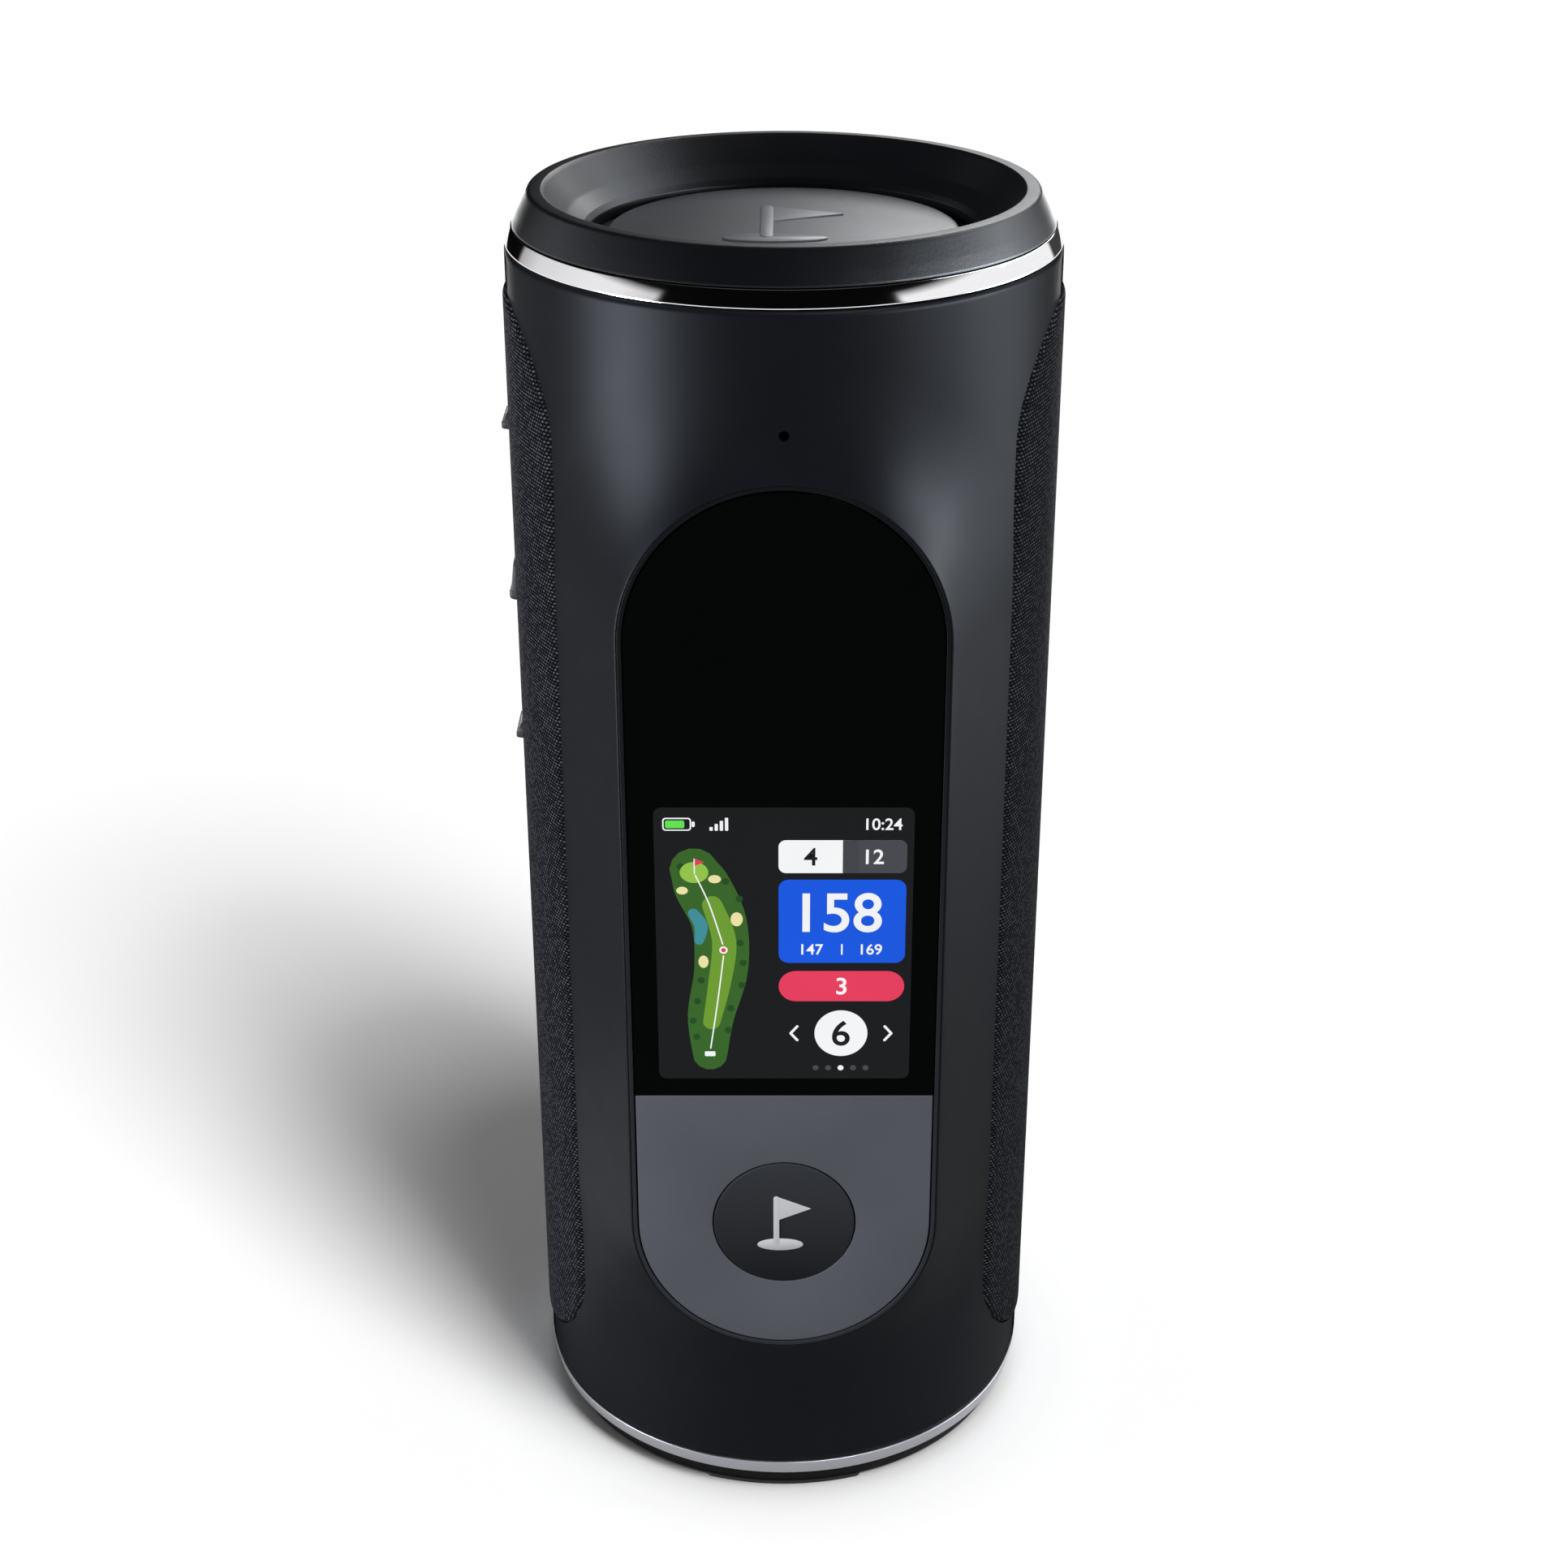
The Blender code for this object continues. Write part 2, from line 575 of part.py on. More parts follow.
def make_face():
    bezel = prism("face_bezel", face_pill(BEZEL_OUTER), FACE_Y, FACE_BACK_Y, FRONT, SHELL)
    cut(bezel, prism("bezel_opening", face_pill(BEZEL_INNER), FACE_Y - WALL, FLOOR_Y + WALL, FRONT))

    low, high = FACE_BOTTOM + FACE_HALF_WIDTH, FACE_TOP - FACE_HALF_WIDTH
    arch = arc((0, high), FACE_HALF_WIDTH, 0, 180, 2 * ARC_STEPS)
    corners = [(-FACE_HALF_WIDTH, PLATE_TOP + SEAM), (FACE_HALF_WIDTH, PLATE_TOP + SEAM)]
    prism("display_glass", arch + corners, FACE_Y, FACE_BACK_Y, FRONT, GLASS)

    bowl = arc((0, low), FACE_HALF_WIDTH, 180, 360, 2 * ARC_STEPS)
    corners = [(FACE_HALF_WIDTH, PLATE_TOP), (-FACE_HALF_WIDTH, PLATE_TOP)]
    plate = prism("control_plate", bowl + corners, FACE_Y, FACE_BACK_Y, FRONT, PLATE)
    cut(plate, rod("button_hole", BUTTON_RADIUS + FIT, FACE_Y - WALL, FLOOR_Y + WALL, steps=ROUND_STEPS,
                   matrix=along_y(0, BUTTON_Z)))

    make_main_button()
    half_width, half_height = DISPLAY_WIDTH / 2, DISPLAY_HEIGHT / 2
    box("display_module", (-half_width, FACE_BACK_Y + FIT, DISPLAY_Z - half_height),
        (half_width, DISPLAY_BACK_Y, DISPLAY_Z + half_height), SCREEN)
    rod("microphone", MICROPHONE_RADIUS, -BORE_RADIUS + FIT, -BORE_RADIUS + FIT + MICROPHONE_DEPTH, STEEL,
        matrix=along_y(0, FACE_TOP + PINHOLE_RISE))


def make_main_button():
    """Cap and stem, turned about the press axis; the stem stops its travel short of the switch."""
    room = BUTTON_TRAVEL + SEAM
    switch_face = DISPLAY_BOARD_Y - DISPLAY_BOARD_GAP / 2
    cap = FLOOR_Y - FACE_Y - room
    stem = switch_face - room - FACE_Y
    edge = SEAM * 2
    turned("main_button", [
        (0, 0),
        (BUTTON_STEM_RADIUS, 0),
        (BUTTON_STEM_RADIUS, stem - cap),
        (BUTTON_RADIUS, stem - cap),
        (BUTTON_RADIUS, stem - edge),
        (BUTTON_RADIUS - edge, stem),
        (0, stem),
    ][::-1], BUTTON, ROUND_STEPS,
        Matrix.Translation((0, FACE_Y + stem, BUTTON_Z)) @ Matrix.Rotation(math.radians(90), 4, "X"), False)
    rod("main_button_switch", BUTTON_STEM_RADIUS, switch_face, DISPLAY_BOARD_Y - FIT, STEEL,
        matrix=along_y(0, BUTTON_Z))


# Side panels and keys

def panel_shell(name, inner, outer, side, material):
    """The part of a tube that the panel's outline covers, on one side."""
    margin = PANEL_END_MARGIN
    low, high = PANEL_BOTTOM - margin, PANEL_TOP + margin
    shell = turned(name, [(outer, high), (outer, low), (inner, low), (inner, high)], material)
    reach = sorted((side * SPINE_THICKNESS, side * 2 * BODY_RADIUS))
    cut(shell, prism(f"{name}_outline", panel_outline(FIT), *reach, SIDE), "INTERSECT")
    return shell


def key_shapes():
    """Name, height and middle of each key, top to bottom."""
    yield "volume_up_key", VOLUME_KEY_HEIGHT, KEY_MIDDLE_Z + KEY_PITCH
    yield "play_key", PLAY_KEY_HEIGHT, KEY_MIDDLE_Z
    yield "volume_down_key", VOLUME_KEY_HEIGHT, KEY_MIDDLE_Z - KEY_PITCH


def key_outline(height, grow):
    half_height = height / 2 + grow
    return rounded(KEY_WIDTH / 2 + grow, -half_height, half_height, VOLUME_KEY_HEIGHT / 2 + grow, 4)


def make_keys(grille, fabric):
    """Keys with a face that slopes out towards its lower edge, and the holes that they stand in."""
    root = -BORE_RADIUS + SEAM
    tip = -FABRIC_OUTER - KEY_PROUD
    for name, height, z in key_shapes():
        key = prism(name, key_outline(height, 0), tip, root, SIDE, KEY_RUBBER, (0, 0, z))
        for vertex in key.data.vertices:
            if vertex.co.z < (tip + root) / 2:
                vertex.co.z += KEY_SLOPE * (vertex.co.y / height + 0.5)
        hole = prism(f"{name}_hole", key_outline(height, FIT), -2 * BODY_RADIUS, -BORE_RADIUS + WALL, SIDE,
                     None, (0, 0, z))
        cut(grille, hole)
        cut(fabric, hole)
    board_x = root + KEY_TRAVEL + SEAM
    reach = KEY_PITCH + PLAY_KEY_HEIGHT
    box("side_switch_board", (board_x, -KEY_BOARD_WIDTH / 2, KEY_MIDDLE_Z - reach),
        (board_x + KEY_BOARD_THICKNESS, KEY_BOARD_WIDTH / 2, KEY_MIDDLE_Z + reach), BOARD)


def make_side_panels():
    for side, label in ((1, "right"), (-1, "left")):
        grille = panel_shell(f"{label}_grille", BORE_RADIUS, GRILLE_OUTER, side, INNER_PLASTIC)
        reach = sorted((side * SPINE_THICKNESS, side * 2 * BODY_RADIUS))
        cut(grille, rod(f"{label}_port", GRILLE_PORT_RADIUS, SPINE_THICKNESS, 2 * BODY_RADIUS,
                        steps=INNER_STEPS, matrix=along_x(side, DRIVER_Z)))
        first = DRIVER_Z + GRILLE_PORT_RADIUS + GRILLE_SLOT_HEIGHT
        for i in range(GRILLE_SLOT_COUNT):
            low = first + 2 * GRILLE_SLOT_HEIGHT * i
            slot = rounded(GRILLE_PORT_RADIUS, low, low + GRILLE_SLOT_HEIGHT, GRILLE_SLOT_HEIGHT / 2, 3)
            cut(grille, prism(f"{label}_slot_{i + 1}", slot, *reach, SIDE))
        fabric = panel_shell(f"{label}_fabric", FABRIC_INNER, FABRIC_OUTER, side, CLOTH)
        if side < 0:
            make_keys(grille, fabric)


# Drivers

def make_driver(side, label):
    matrix = along_x(side, DRIVER_Z)
    back = FLANGE_X - DRIVER_FLANGE
    turned(f"{label}_driver_basket", [
        (DRIVER_RADIUS, FLANGE_X),
        (DRIVER_RADIUS, back),
        (BASKET_SEAT_RADIUS + BASKET_WALL, back),
        (MAGNET_RADIUS, BASKET_X),
        (BASKET_THROAT_RADIUS, BASKET_X),
        (BASKET_THROAT_RADIUS, BASKET_X + BASKET_WALL),
        (MAGNET_RADIUS - BASKET_WALL, BASKET_X + BASKET_WALL),
        (BASKET_SEAT_RADIUS, back),
        (BASKET_SEAT_RADIUS, FLANGE_X),
    ], INNER_PLASTIC, INNER_STEPS, matrix)
    rod(f"{label}_driver_magnet", MAGNET_RADIUS, MAGNET_X, BASKET_X - FIT, STEEL, INNER_STEPS, matrix)

    rim = FLANGE_X + FIT
    bottom = BASKET_X + CONE_TRAVEL
    neck = bottom + 2 * CONE_TRAVEL
    turned(f"{label}_driver_cone", [
        (0, neck + CONE_TRAVEL),
        (COIL_RADIUS, neck + FIT),
        (CONE_RADIUS - BASKET_WALL, rim + SURROUND_THICKNESS),
        (CONE_RADIUS, rim),
        (COIL_RADIUS + FIT, neck - CONE_TRAVEL),
        (COIL_RADIUS, bottom),
        (0, bottom),
    ], CONE_PAPER, INNER_STEPS, matrix, False)

    roll = half_roll(CONE_RADIUS + FIT, BASKET_SEAT_RADIUS, BASKET_SEAT_RADIUS + DRIVER_LIP)
    turned(f"{label}_driver_surround", end_profile(roll, rim + SURROUND_THICKNESS, 1), SOFT_RUBBER,
           INNER_STEPS, matrix)


# Chassis, cells, boards and port

def make_chassis():
    front = DISPLAY_BOARD_Y + BOARD_THICKNESS + FIT
    rear = MAIN_BOARD_Y - FIT
    top = UPPER_BULKHEAD + BULKHEAD_THICKNESS
    half = SPINE_THICKNESS / 2
    chassis = box("chassis", (-half, front, LOWER_BULKHEAD + SEAM), (half, rear, top - SEAM), INNER_PLASTIC)
    vent_x = (BORE_RADIUS + half) / 2
    for label, z in (("lower", LOWER_BULKHEAD), ("middle", MIDDLE_BULKHEAD), ("upper", UPPER_BULKHEAD)):
        disc = rod(f"{label}_bulkhead", SPIGOT_RADIUS, z, z + BULKHEAD_THICKNESS, steps=INNER_STEPS)
        cut(disc, box(f"{label}_bulkhead_limits", (-BODY_RADIUS, front, 0), (BODY_RADIUS, rear, BUMPER_TOP)),
            "INTERSECT")
        if label != "middle":
            for side in (1, -1):
                cut(disc, rod(f"{label}_vent_{side}", BULKHEAD_VENT_RADIUS, 0, BUMPER_TOP,
                              matrix=Matrix.Translation((side * vent_x, 0, 0))))
        cut(chassis, disc, "UNION")


def make_cells():
    base = MIDDLE_BULKHEAD + BULKHEAD_THICKNESS + FIT
    offset = SPINE_THICKNESS / 2 + FIT + CELL_RADIUS
    for side, label in ((1, "right"), (-1, "left")):
        turned(f"battery_cell_{label}", [
            (0, CELL_HEIGHT),
            (CELL_CAP_RADIUS, CELL_HEIGHT),
            (CELL_CAP_RADIUS, CELL_HEIGHT - CELL_CAP_HEIGHT),
            (CELL_RADIUS, CELL_HEIGHT - CELL_CAP_HEIGHT),
            (CELL_RADIUS, 0),
            (0, 0),
        ], CELL_WRAP, INNER_STEPS, Matrix.Translation((side * offset, 0, base)), False)


def make_boards():
    half = DISPLAY_BOARD_WIDTH / 2
    low = BUTTON_Z - BUTTON_RADIUS
    high = DISPLAY_Z + DISPLAY_HEIGHT / 2
    back = DISPLAY_BOARD_Y + BOARD_THICKNESS
    box("display_board", (-half, DISPLAY_BOARD_Y, low), (half, back, high), BOARD)
    half = MAIN_BOARD_WIDTH / 2
    back = MAIN_BOARD_Y + BOARD_THICKNESS
    top = MAIN_BOARD_Z + MAIN_BOARD_HEIGHT
    box("main_board", (-half, MAIN_BOARD_Y, MAIN_BOARD_Z), (half, back, top), BOARD)
    half = ANTENNA_SIDE / 2
    low = UPPER_BULKHEAD + BULKHEAD_THICKNESS + FIT
    box("gps_antenna", (-half, -half, low), (half, half, low + ANTENNA_THICKNESS), CERAMIC)

    shell = rounded(PORT_WIDTH / 2, -PORT_HEIGHT / 2, PORT_HEIGHT / 2, PORT_HEIGHT / 2 - SEAM, 4)
    wall = 2 * SEAM
    mouth = BORE_RADIUS - FIT
    port = prism("usb_port", shell, back + FIT, mouth, FRONT, STEEL, (0, 0, PORT_Z))
    hollow = rounded(PORT_WIDTH / 2 - wall, -PORT_HEIGHT / 2 + wall, PORT_HEIGHT / 2 - wall,
                     PORT_HEIGHT / 2 - wall - SEAM, 4)
    cut(port, prism("port_hollow", hollow, (back + mouth) / 2, 2 * mouth, FRONT, None, (0, 0, PORT_Z)))


def cover_shell(name, inner, outer, grow, drop, material=None):
    """A curved patch of the body's back round the port, grown on all sides and lowered at the hinge."""
    half_height = COVER_HEIGHT / 2
    low, high = PORT_Z - half_height, PORT_Z + half_height
    above, below = high + COVER_HEIGHT, low - COVER_HEIGHT
    shell = turned(name, [(outer, above), (outer, below), (inner, below), (inner, above)], material)
    outline = rounded(COVER_WIDTH / 2 + grow, low - max(grow, drop), high + grow, COVER_CORNER + grow, 4)
    cut(shell, prism(f"{name}_outline", outline, SPINE_THICKNESS, 3 * BODY_RADIUS, FRONT), "INTERSECT")
    return shell


def make_port_cover():
    hinge_z = PORT_Z - COVER_HEIGHT / 2 + COVER_HINGE_RISE
    hinge_y = BODY_RADIUS - COVER_THICKNESS / 2
    hinge = bpy.data.objects.new("port_cover_hinge", None)
    PARTS.objects.link(hinge)
    hinge.location = (0, hinge_y, hinge_z)
    bpy.context.view_layer.update()
    cover = cover_shell("port_cover", BODY_RADIUS - COVER_THICKNESS, BODY_RADIUS, 0, 0, BUMPER_RUBBER)
    cover.parent = hinge
    cover.matrix_parent_inverse = hinge.matrix_world.inverted()


make_housing()
make_top_bumper()
make_base_bumper()
make_trims()
make_radiator("top", TOP_SEAT, 1)
make_radiator("bottom", BOTTOM_SEAT, -1)
make_face()
make_side_panels()
make_driver(1, "right")
make_driver(-1, "left")
make_chassis()
make_cells()
make_boards()
make_port_cover()
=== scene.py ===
import json
from math import asin, atan, atan2, cos, degrees, pi, radians, sin, sqrt, tan

import bmesh
import bpy
from mathutils import Matrix, Vector

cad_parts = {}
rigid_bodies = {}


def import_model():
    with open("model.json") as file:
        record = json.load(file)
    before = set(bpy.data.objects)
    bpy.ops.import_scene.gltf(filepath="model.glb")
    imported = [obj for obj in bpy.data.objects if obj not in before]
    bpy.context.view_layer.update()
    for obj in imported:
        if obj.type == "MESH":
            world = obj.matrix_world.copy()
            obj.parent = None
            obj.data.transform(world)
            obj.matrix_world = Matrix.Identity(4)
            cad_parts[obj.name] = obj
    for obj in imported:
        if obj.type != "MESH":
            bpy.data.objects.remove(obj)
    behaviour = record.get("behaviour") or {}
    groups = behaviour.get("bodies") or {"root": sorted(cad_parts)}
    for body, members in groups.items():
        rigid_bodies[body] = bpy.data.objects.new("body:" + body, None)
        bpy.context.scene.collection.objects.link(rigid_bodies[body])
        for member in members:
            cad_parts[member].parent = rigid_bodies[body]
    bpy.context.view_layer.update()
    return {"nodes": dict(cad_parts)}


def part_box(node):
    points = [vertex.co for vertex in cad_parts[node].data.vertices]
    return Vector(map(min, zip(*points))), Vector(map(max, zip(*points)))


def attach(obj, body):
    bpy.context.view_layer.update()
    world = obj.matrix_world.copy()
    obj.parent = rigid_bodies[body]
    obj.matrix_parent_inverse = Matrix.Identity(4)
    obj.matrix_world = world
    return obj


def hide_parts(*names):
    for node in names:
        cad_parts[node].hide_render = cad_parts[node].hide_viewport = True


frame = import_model()

MM = 0.001

# Body, in the CAD model's frame: +Z up, the display faces -Y
BODY_RADIUS = 41.0 * MM
BORE_RADIUS = 38.0 * MM
SPIGOT_RADIUS = 37.55 * MM
HOUSING_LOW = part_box("housing")[0].z
HOUSING_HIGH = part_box("housing")[1].z
RIM_ROUND = 0.9 * MM

# Face: a pill of two half circles on the plane y = FACE_Y
FACE_Y = -BODY_RADIUS
FACE_HALF = 22.75 * MM
FACE_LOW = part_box("control_plate")[0].z + FACE_HALF
FACE_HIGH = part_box("display_glass")[1].z - FACE_HALF
PLATE_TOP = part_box("control_plate")[1].z
GLASS_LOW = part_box("display_glass")[0].z
FLOOR_Y = FACE_Y + 1.6 * MM
PIECE_BACK = FACE_Y + 1.3 * MM
RECESS_GROW = 0.9 * MM
BEZEL_GROW = (0.24 * MM, 0.86 * MM)
CREASE_HALF = 23.9 * MM
CREASE_ROUND = 0.35 * MM
CHEEK_SWEEP = 0.8
GLASS_Y = FACE_Y + 0.10 * MM
BUTTON_RADIUS = 11.0 * MM
BUTTON_DISH = 0.35 * MM

# Side panels
PANEL_HALF = 24.2 * MM
PANEL_LOW = 12.95 * MM
PANEL_HIGH = 193.55 * MM
PANEL_CORNER = 18.0 * MM
PANEL_INSET = 0.1 * MM
CLOTH_OUTER = 41.5 * MM
CLOTH_INNER = 40.6 * MM
GAP = 0.3 * MM

# Mesh density, in steps
TURN_STEPS = 160
ARC_STEPS = 60
SIDE_STEPS = 30
CREASE_STEPS = 6
CHEEK_STEPS = 14
BACK_STEPS = 40
BACK_SHARE = 0.2

# Mesh tolerances, and the edge angles in degrees from which an edge is sharp
WELD = 1e-7
SLIVER = 0.002 * MM
NEAR = 1e-9
SHARP = 32.0
SHELL_SHARP = 28.0
PAD_SHARP = 40.0


# Meshes

def linked(name, data):
    """A new object in the scene."""
    obj = bpy.data.objects.new(name, data)
    bpy.context.scene.collection.objects.link(obj)
    return obj


def final_mesh(obj):
    """An object's mesh with its modifiers, or its text, worked out."""
    bpy.context.view_layer.update()
    return bpy.data.meshes.new_from_object(obj.evaluated_get(bpy.context.evaluated_depsgraph_get()))


def soften(obj, angle):
    obj.data.shade_smooth()
    obj.data.set_sharp_from_angle(angle=radians(angle))


def to_object(name, shape, material, angle=SHARP):
    """A bmesh as a smooth-shaded object with one material."""
    bmesh.ops.remove_doubles(shape, verts=shape.verts, dist=WELD)
    bmesh.ops.recalc_face_normals(shape, faces=shape.faces)
    mesh = bpy.data.meshes.new(name)
    shape.to_mesh(mesh)
    shape.free()
    obj = linked(name, mesh)
    if material:
        mesh.materials.append(material)
    soften(obj, angle)
    return obj


def cut(obj, cutters, angle):
    """Takes the cutters out of a mesh, removes them, and clears the slivers along the cuts."""
    for cutter in cutters:
        modifier = obj.modifiers.new(cutter.name, "BOOLEAN")
        modifier.operation = "DIFFERENCE"
        modifier.solver = "EXACT"
        modifier.object = cutter
    mesh = final_mesh(obj)
    obj.modifiers.clear()
    shape = bmesh.new()
    shape.from_mesh(mesh)
    bmesh.ops.remove_doubles(shape, verts=shape.verts, dist=SLIVER)
    bmesh.ops.dissolve_degenerate(shape, edges=shape.edges, dist=SLIVER)
    bmesh.ops.triangulate(shape, faces=[face for face in shape.faces if len(face.verts) > 4])
    bmesh.ops.dissolve_degenerate(shape, edges=shape.edges, dist=SLIVER)
    shape.to_mesh(mesh)
    shape.free()
    obj.data = mesh
    for cutter in cutters:
        bpy.data.objects.remove(cutter, do_unlink=True)
    soften(obj, angle)


def bridge(shape, first, second):
    """Quads between two closed rings with as many points."""
    count = len(first)
    for i in range(count):
        j = (i + 1) % count
        shape.faces.new((first[i], first[j], second[j], second[i]))


def skin(shape, rings):
    """Quads from each ring to the next."""
    for first, second in zip(rings, rings[1:]):
        bridge(shape, first, second)


def around(radius, angle, z):
    """A point round the body; the angle is 0 at the front and grows to the right."""
    return Vector((radius * sin(angle), -radius * cos(angle), z))


def middle_z(node):
    low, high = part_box(node)
    return (low.z + high.z) / 2


def filleted(corners, steps=5):
    """A closed path of (x, y, radius) corners as points, with its corners rounded."""
    path, longest = [], 0.49
    for i, (x, y, radius) in enumerate(corners):
        corner = Vector((x, y))
        before = Vector(corners[i - 1][:2]) - corner
        after = Vector(corners[(i + 1) % len(corners)][:2]) - corner
        if radius <= 0:
            path.append((x, y))
            continue
        reach = radius / tan(before.angle(after) / 2)
        reach = min(reach, longest * before.length, longest * after.length)
        start = corner + before.normalized() * reach
        end = corner + after.normalized() * reach
        for k in range(steps + 1):
            t = k / steps
            point = (1 - t) ** 2 * start + 2 * t * (1 - t) * corner + t ** 2 * end
            path.append((point.x, point.y))
    return path


def turned(name, profile, material, closed=True, matrix=None, steps=TURN_STEPS):
    """A piece of (radius, height) points, spun about Z."""
    shape = bmesh.new()
    turns = [2 * pi * i / steps for i in range(steps)]
    rings = []
    for radius, height in profile:
        if radius < NEAR:
            rings.append([shape.verts.new((0, 0, height))] * steps)
            continue
        rings.append([shape.verts.new((radius * cos(a), radius * sin(a), height)) for a in turns])
    pairs = list(zip(rings, rings[1:]))
    if closed:
        pairs.append((rings[-1], rings[0]))
    for first, second in pairs:
        for i in range(steps):
            j = (i + 1) % steps
            corners = dict.fromkeys((first[i], first[j], second[j], second[i]))
            if len(corners) > 2:
                shape.faces.new(corners)
    if matrix:
        bmesh.ops.transform(shape, matrix=matrix, verts=shape.verts)
    return to_object(name, shape, material)


def slab(shape, outline, front, back, edge=0.0, holes=(), steps=4):
    """A plate facing -Y; outline(grow) gives its (x, z) points, and holes are outlines too."""
    caps = []
    for index, path in enumerate((outline, *holes)):
        way = -1 if index == 0 else 1
        rings = []
        turns = [pi / 2 * k / steps for k in range(steps + 1)] if edge else [pi / 2]
        for turn in turns:
            inset = edge * (1 - sin(turn))
            y = front + edge * (1 - cos(turn))
            rings.append([shape.verts.new((x, y, z)) for x, z in path(way * inset)])
        rings.append([shape.verts.new((x, back, z)) for x, z in path(0)])
        skin(shape, rings)
        caps.append((rings[0], rings[-1]))
    for loops in zip(*caps):
        if len(loops) == 1:
            shape.faces.new(loops[0])
            continue
        edges = [shape.edges.get((loop[i - 1], loop[i])) for loop in loops for i in range(len(loop))]
        bmesh.ops.triangle_fill(shape, use_beauty=True, use_dissolve=False, edges=edges)


def plate(name, material, *arguments, **options):
    """A slab as a piece of its own."""
    shape = bmesh.new()
    slab(shape, *arguments, **options)
    return to_object(name, shape, material)


def arc(x, z, radius, start, end, steps):
    """Points on a circle between two angles in degrees."""
    turns = [radians(start + (end - start) * i / steps) for i in range(steps + 1)]
    return [(x + radius * cos(a), z + radius * sin(a)) for a in turns]


def pill(base):
    """The face's outline, grown by base."""
    def outline(grow):
        half = FACE_HALF + base + grow
        return arc(0, FACE_HIGH, half, 0, 180, ARC_STEPS) + arc(0, FACE_LOW, half, 180, 360, ARC_STEPS)
    return outline


def arch(grow):
    """The glass: a half circle over a straight lower edge."""
    half, low = FACE_HALF + grow, GLASS_LOW - grow
    return arc(0, FACE_HIGH, half, 0, 180, ARC_STEPS) + [(-half, low), (half, low)]


def bowl(grow):
    """The control plate: a half circle under a straight upper edge."""
    half, high = FACE_HALF + grow, PLATE_TOP + grow
    return arc(0, FACE_LOW, half, 180, 360, ARC_STEPS) + [(half, high), (-half, high)]


def disc(x, z, radius, steps=48, squash=1.0):
    """A circle, or an ellipse where squash isn't 1."""
    def outline(grow):
        points = arc(0, 0, radius + grow, 0, 360, steps)[:-1]
        return [(x + u, z + squash * v) for u, v in points]
    return outline


def card(x, z, half_width, half_height, corner, steps=8):
    """A rectangle with round corners round a middle point."""
    def outline(grow):
        u, v, radius = half_width - corner, half_height - corner, corner + grow
        return (arc(x + u, z - v, radius, -90, 0, steps) + arc(x + u, z + v, radius, 0, 90, steps)
                + arc(x - u, z + v, radius, 90, 180, steps) + arc(x - u, z - v, radius, 180, 270, steps))
    return outline


def patch(name, material, half, low, high, corner, place, out, inner, edge, rows=40, columns=24):
    """A closed pad over an upright round-cornered rectangle in (u, v).

    out(u, v) and inner are its face and back as heights, and place(u, v, height) puts a point in space.
    The face rolls down to the back over the width of edge.
    """
    corner_rows, edge_steps = 14, 7

    def side(inset):
        """Points up the right side."""
        u, radius = half - corner, corner - inset
        start, run = low + corner, high - low - 2 * corner
        straight = [(half - inset, start + run * i / rows) for i in range(1, rows)]
        return (arc(u, start, radius, -90, 0, corner_rows) + straight
                + arc(u, high - corner, radius, 0, 90, corner_rows))

    def point(u, v, share):
        """A point at a share of the way from the back to the face."""
        return shape.verts.new(place(u, v, inner + (out(u, v) - inner) * share))

    def across(row, share):
        u, v = row
        return [point(u * (1 - 2 * i / columns), v, share) for i in range(columns + 1)]

    shape = bmesh.new()
    turns = [pi / 2 * k / edge_steps for k in range(edge_steps + 1)]
    levels = [(edge * (1 - cos(turn)), sin(turn)) for turn in turns]
    loops = []
    for inset, share in levels:
        points = side(inset)
        right = [point(u, v, share) for u, v in points]
        left = [point(-u, v, share) for u, v in points]
        top = across(points[-1], share)[1:-1]
        bottom = across(points[0], share)[1:-1]
        loops.append(right + top + left[::-1] + bottom[::-1])
    skin(shape, loops)
    for inset, share in (levels[0], levels[-1]):
        grid = [across(row, share) for row in side(inset)]
        for lower, upper in zip(grid, grid[1:]):
            for i in range(columns):
                shape.faces.new((lower[i], lower[i + 1], upper[i + 1], upper[i]))
    return to_object(name, shape, material, PAD_SHARP)


def prism_cutter(name, points, low, high, axis):
    """A solid outline along X or Y, to cut with."""
    shape = bmesh.new()
    rings = []
    for depth in (low, high):
        places = [(depth, u, v) if axis == "X" else (u, depth, v) for u, v in points]
        rings.append([shape.verts.new(place) for place in places])
    bridge(shape, *rings)
    for ring in rings:
        shape.faces.new(ring)
    return to_object(name, shape, None)


def dress(obj, body, slot, *nodes):
    """Puts a piece on the body that it rides on and hides the CAD nodes that it stands for; slot is not used.
    """
    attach(obj, body)
    if nodes:
        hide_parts(*nodes)
    return obj


# Materials

def fill(tree, node, inputs):
    """Sets a node's inputs by name or number; a socket is linked, and a plain value is set."""
    for key, value in inputs.items():
        socket = node.inputs[key if isinstance(key, int) else key.replace("_", " ")]
        if isinstance(value, bpy.types.NodeSocket):
            tree.links.new(value, socket)
        else:
            socket.default_value = value
    return node


def add(material, kind, **inputs):
    return fill(material.node_tree, material.node_tree.nodes.new(kind), inputs)


def calc(material, operation, first, second=0.0):
    node = add(material, "ShaderNodeMath")
    node.operation = operation
    return fill(material.node_tree, node, {0: first, 1: second}).outputs[0]


def feed(material, **inputs):
    """Sets or links inputs of the material's shader."""
    fill(material.node_tree, material.node_tree.nodes["Principled BSDF"], inputs)


def new_material(name, **values):
    material = bpy.data.materials.new(name)
    material.use_nodes = True
    feed(material, **values)
    return material


def place_of(material):
    return add(material, "ShaderNodeTexCoord").outputs["Object"]


def axes_of(material, vector):
    return add(material, "ShaderNodeSeparateXYZ", Vector=vector).outputs


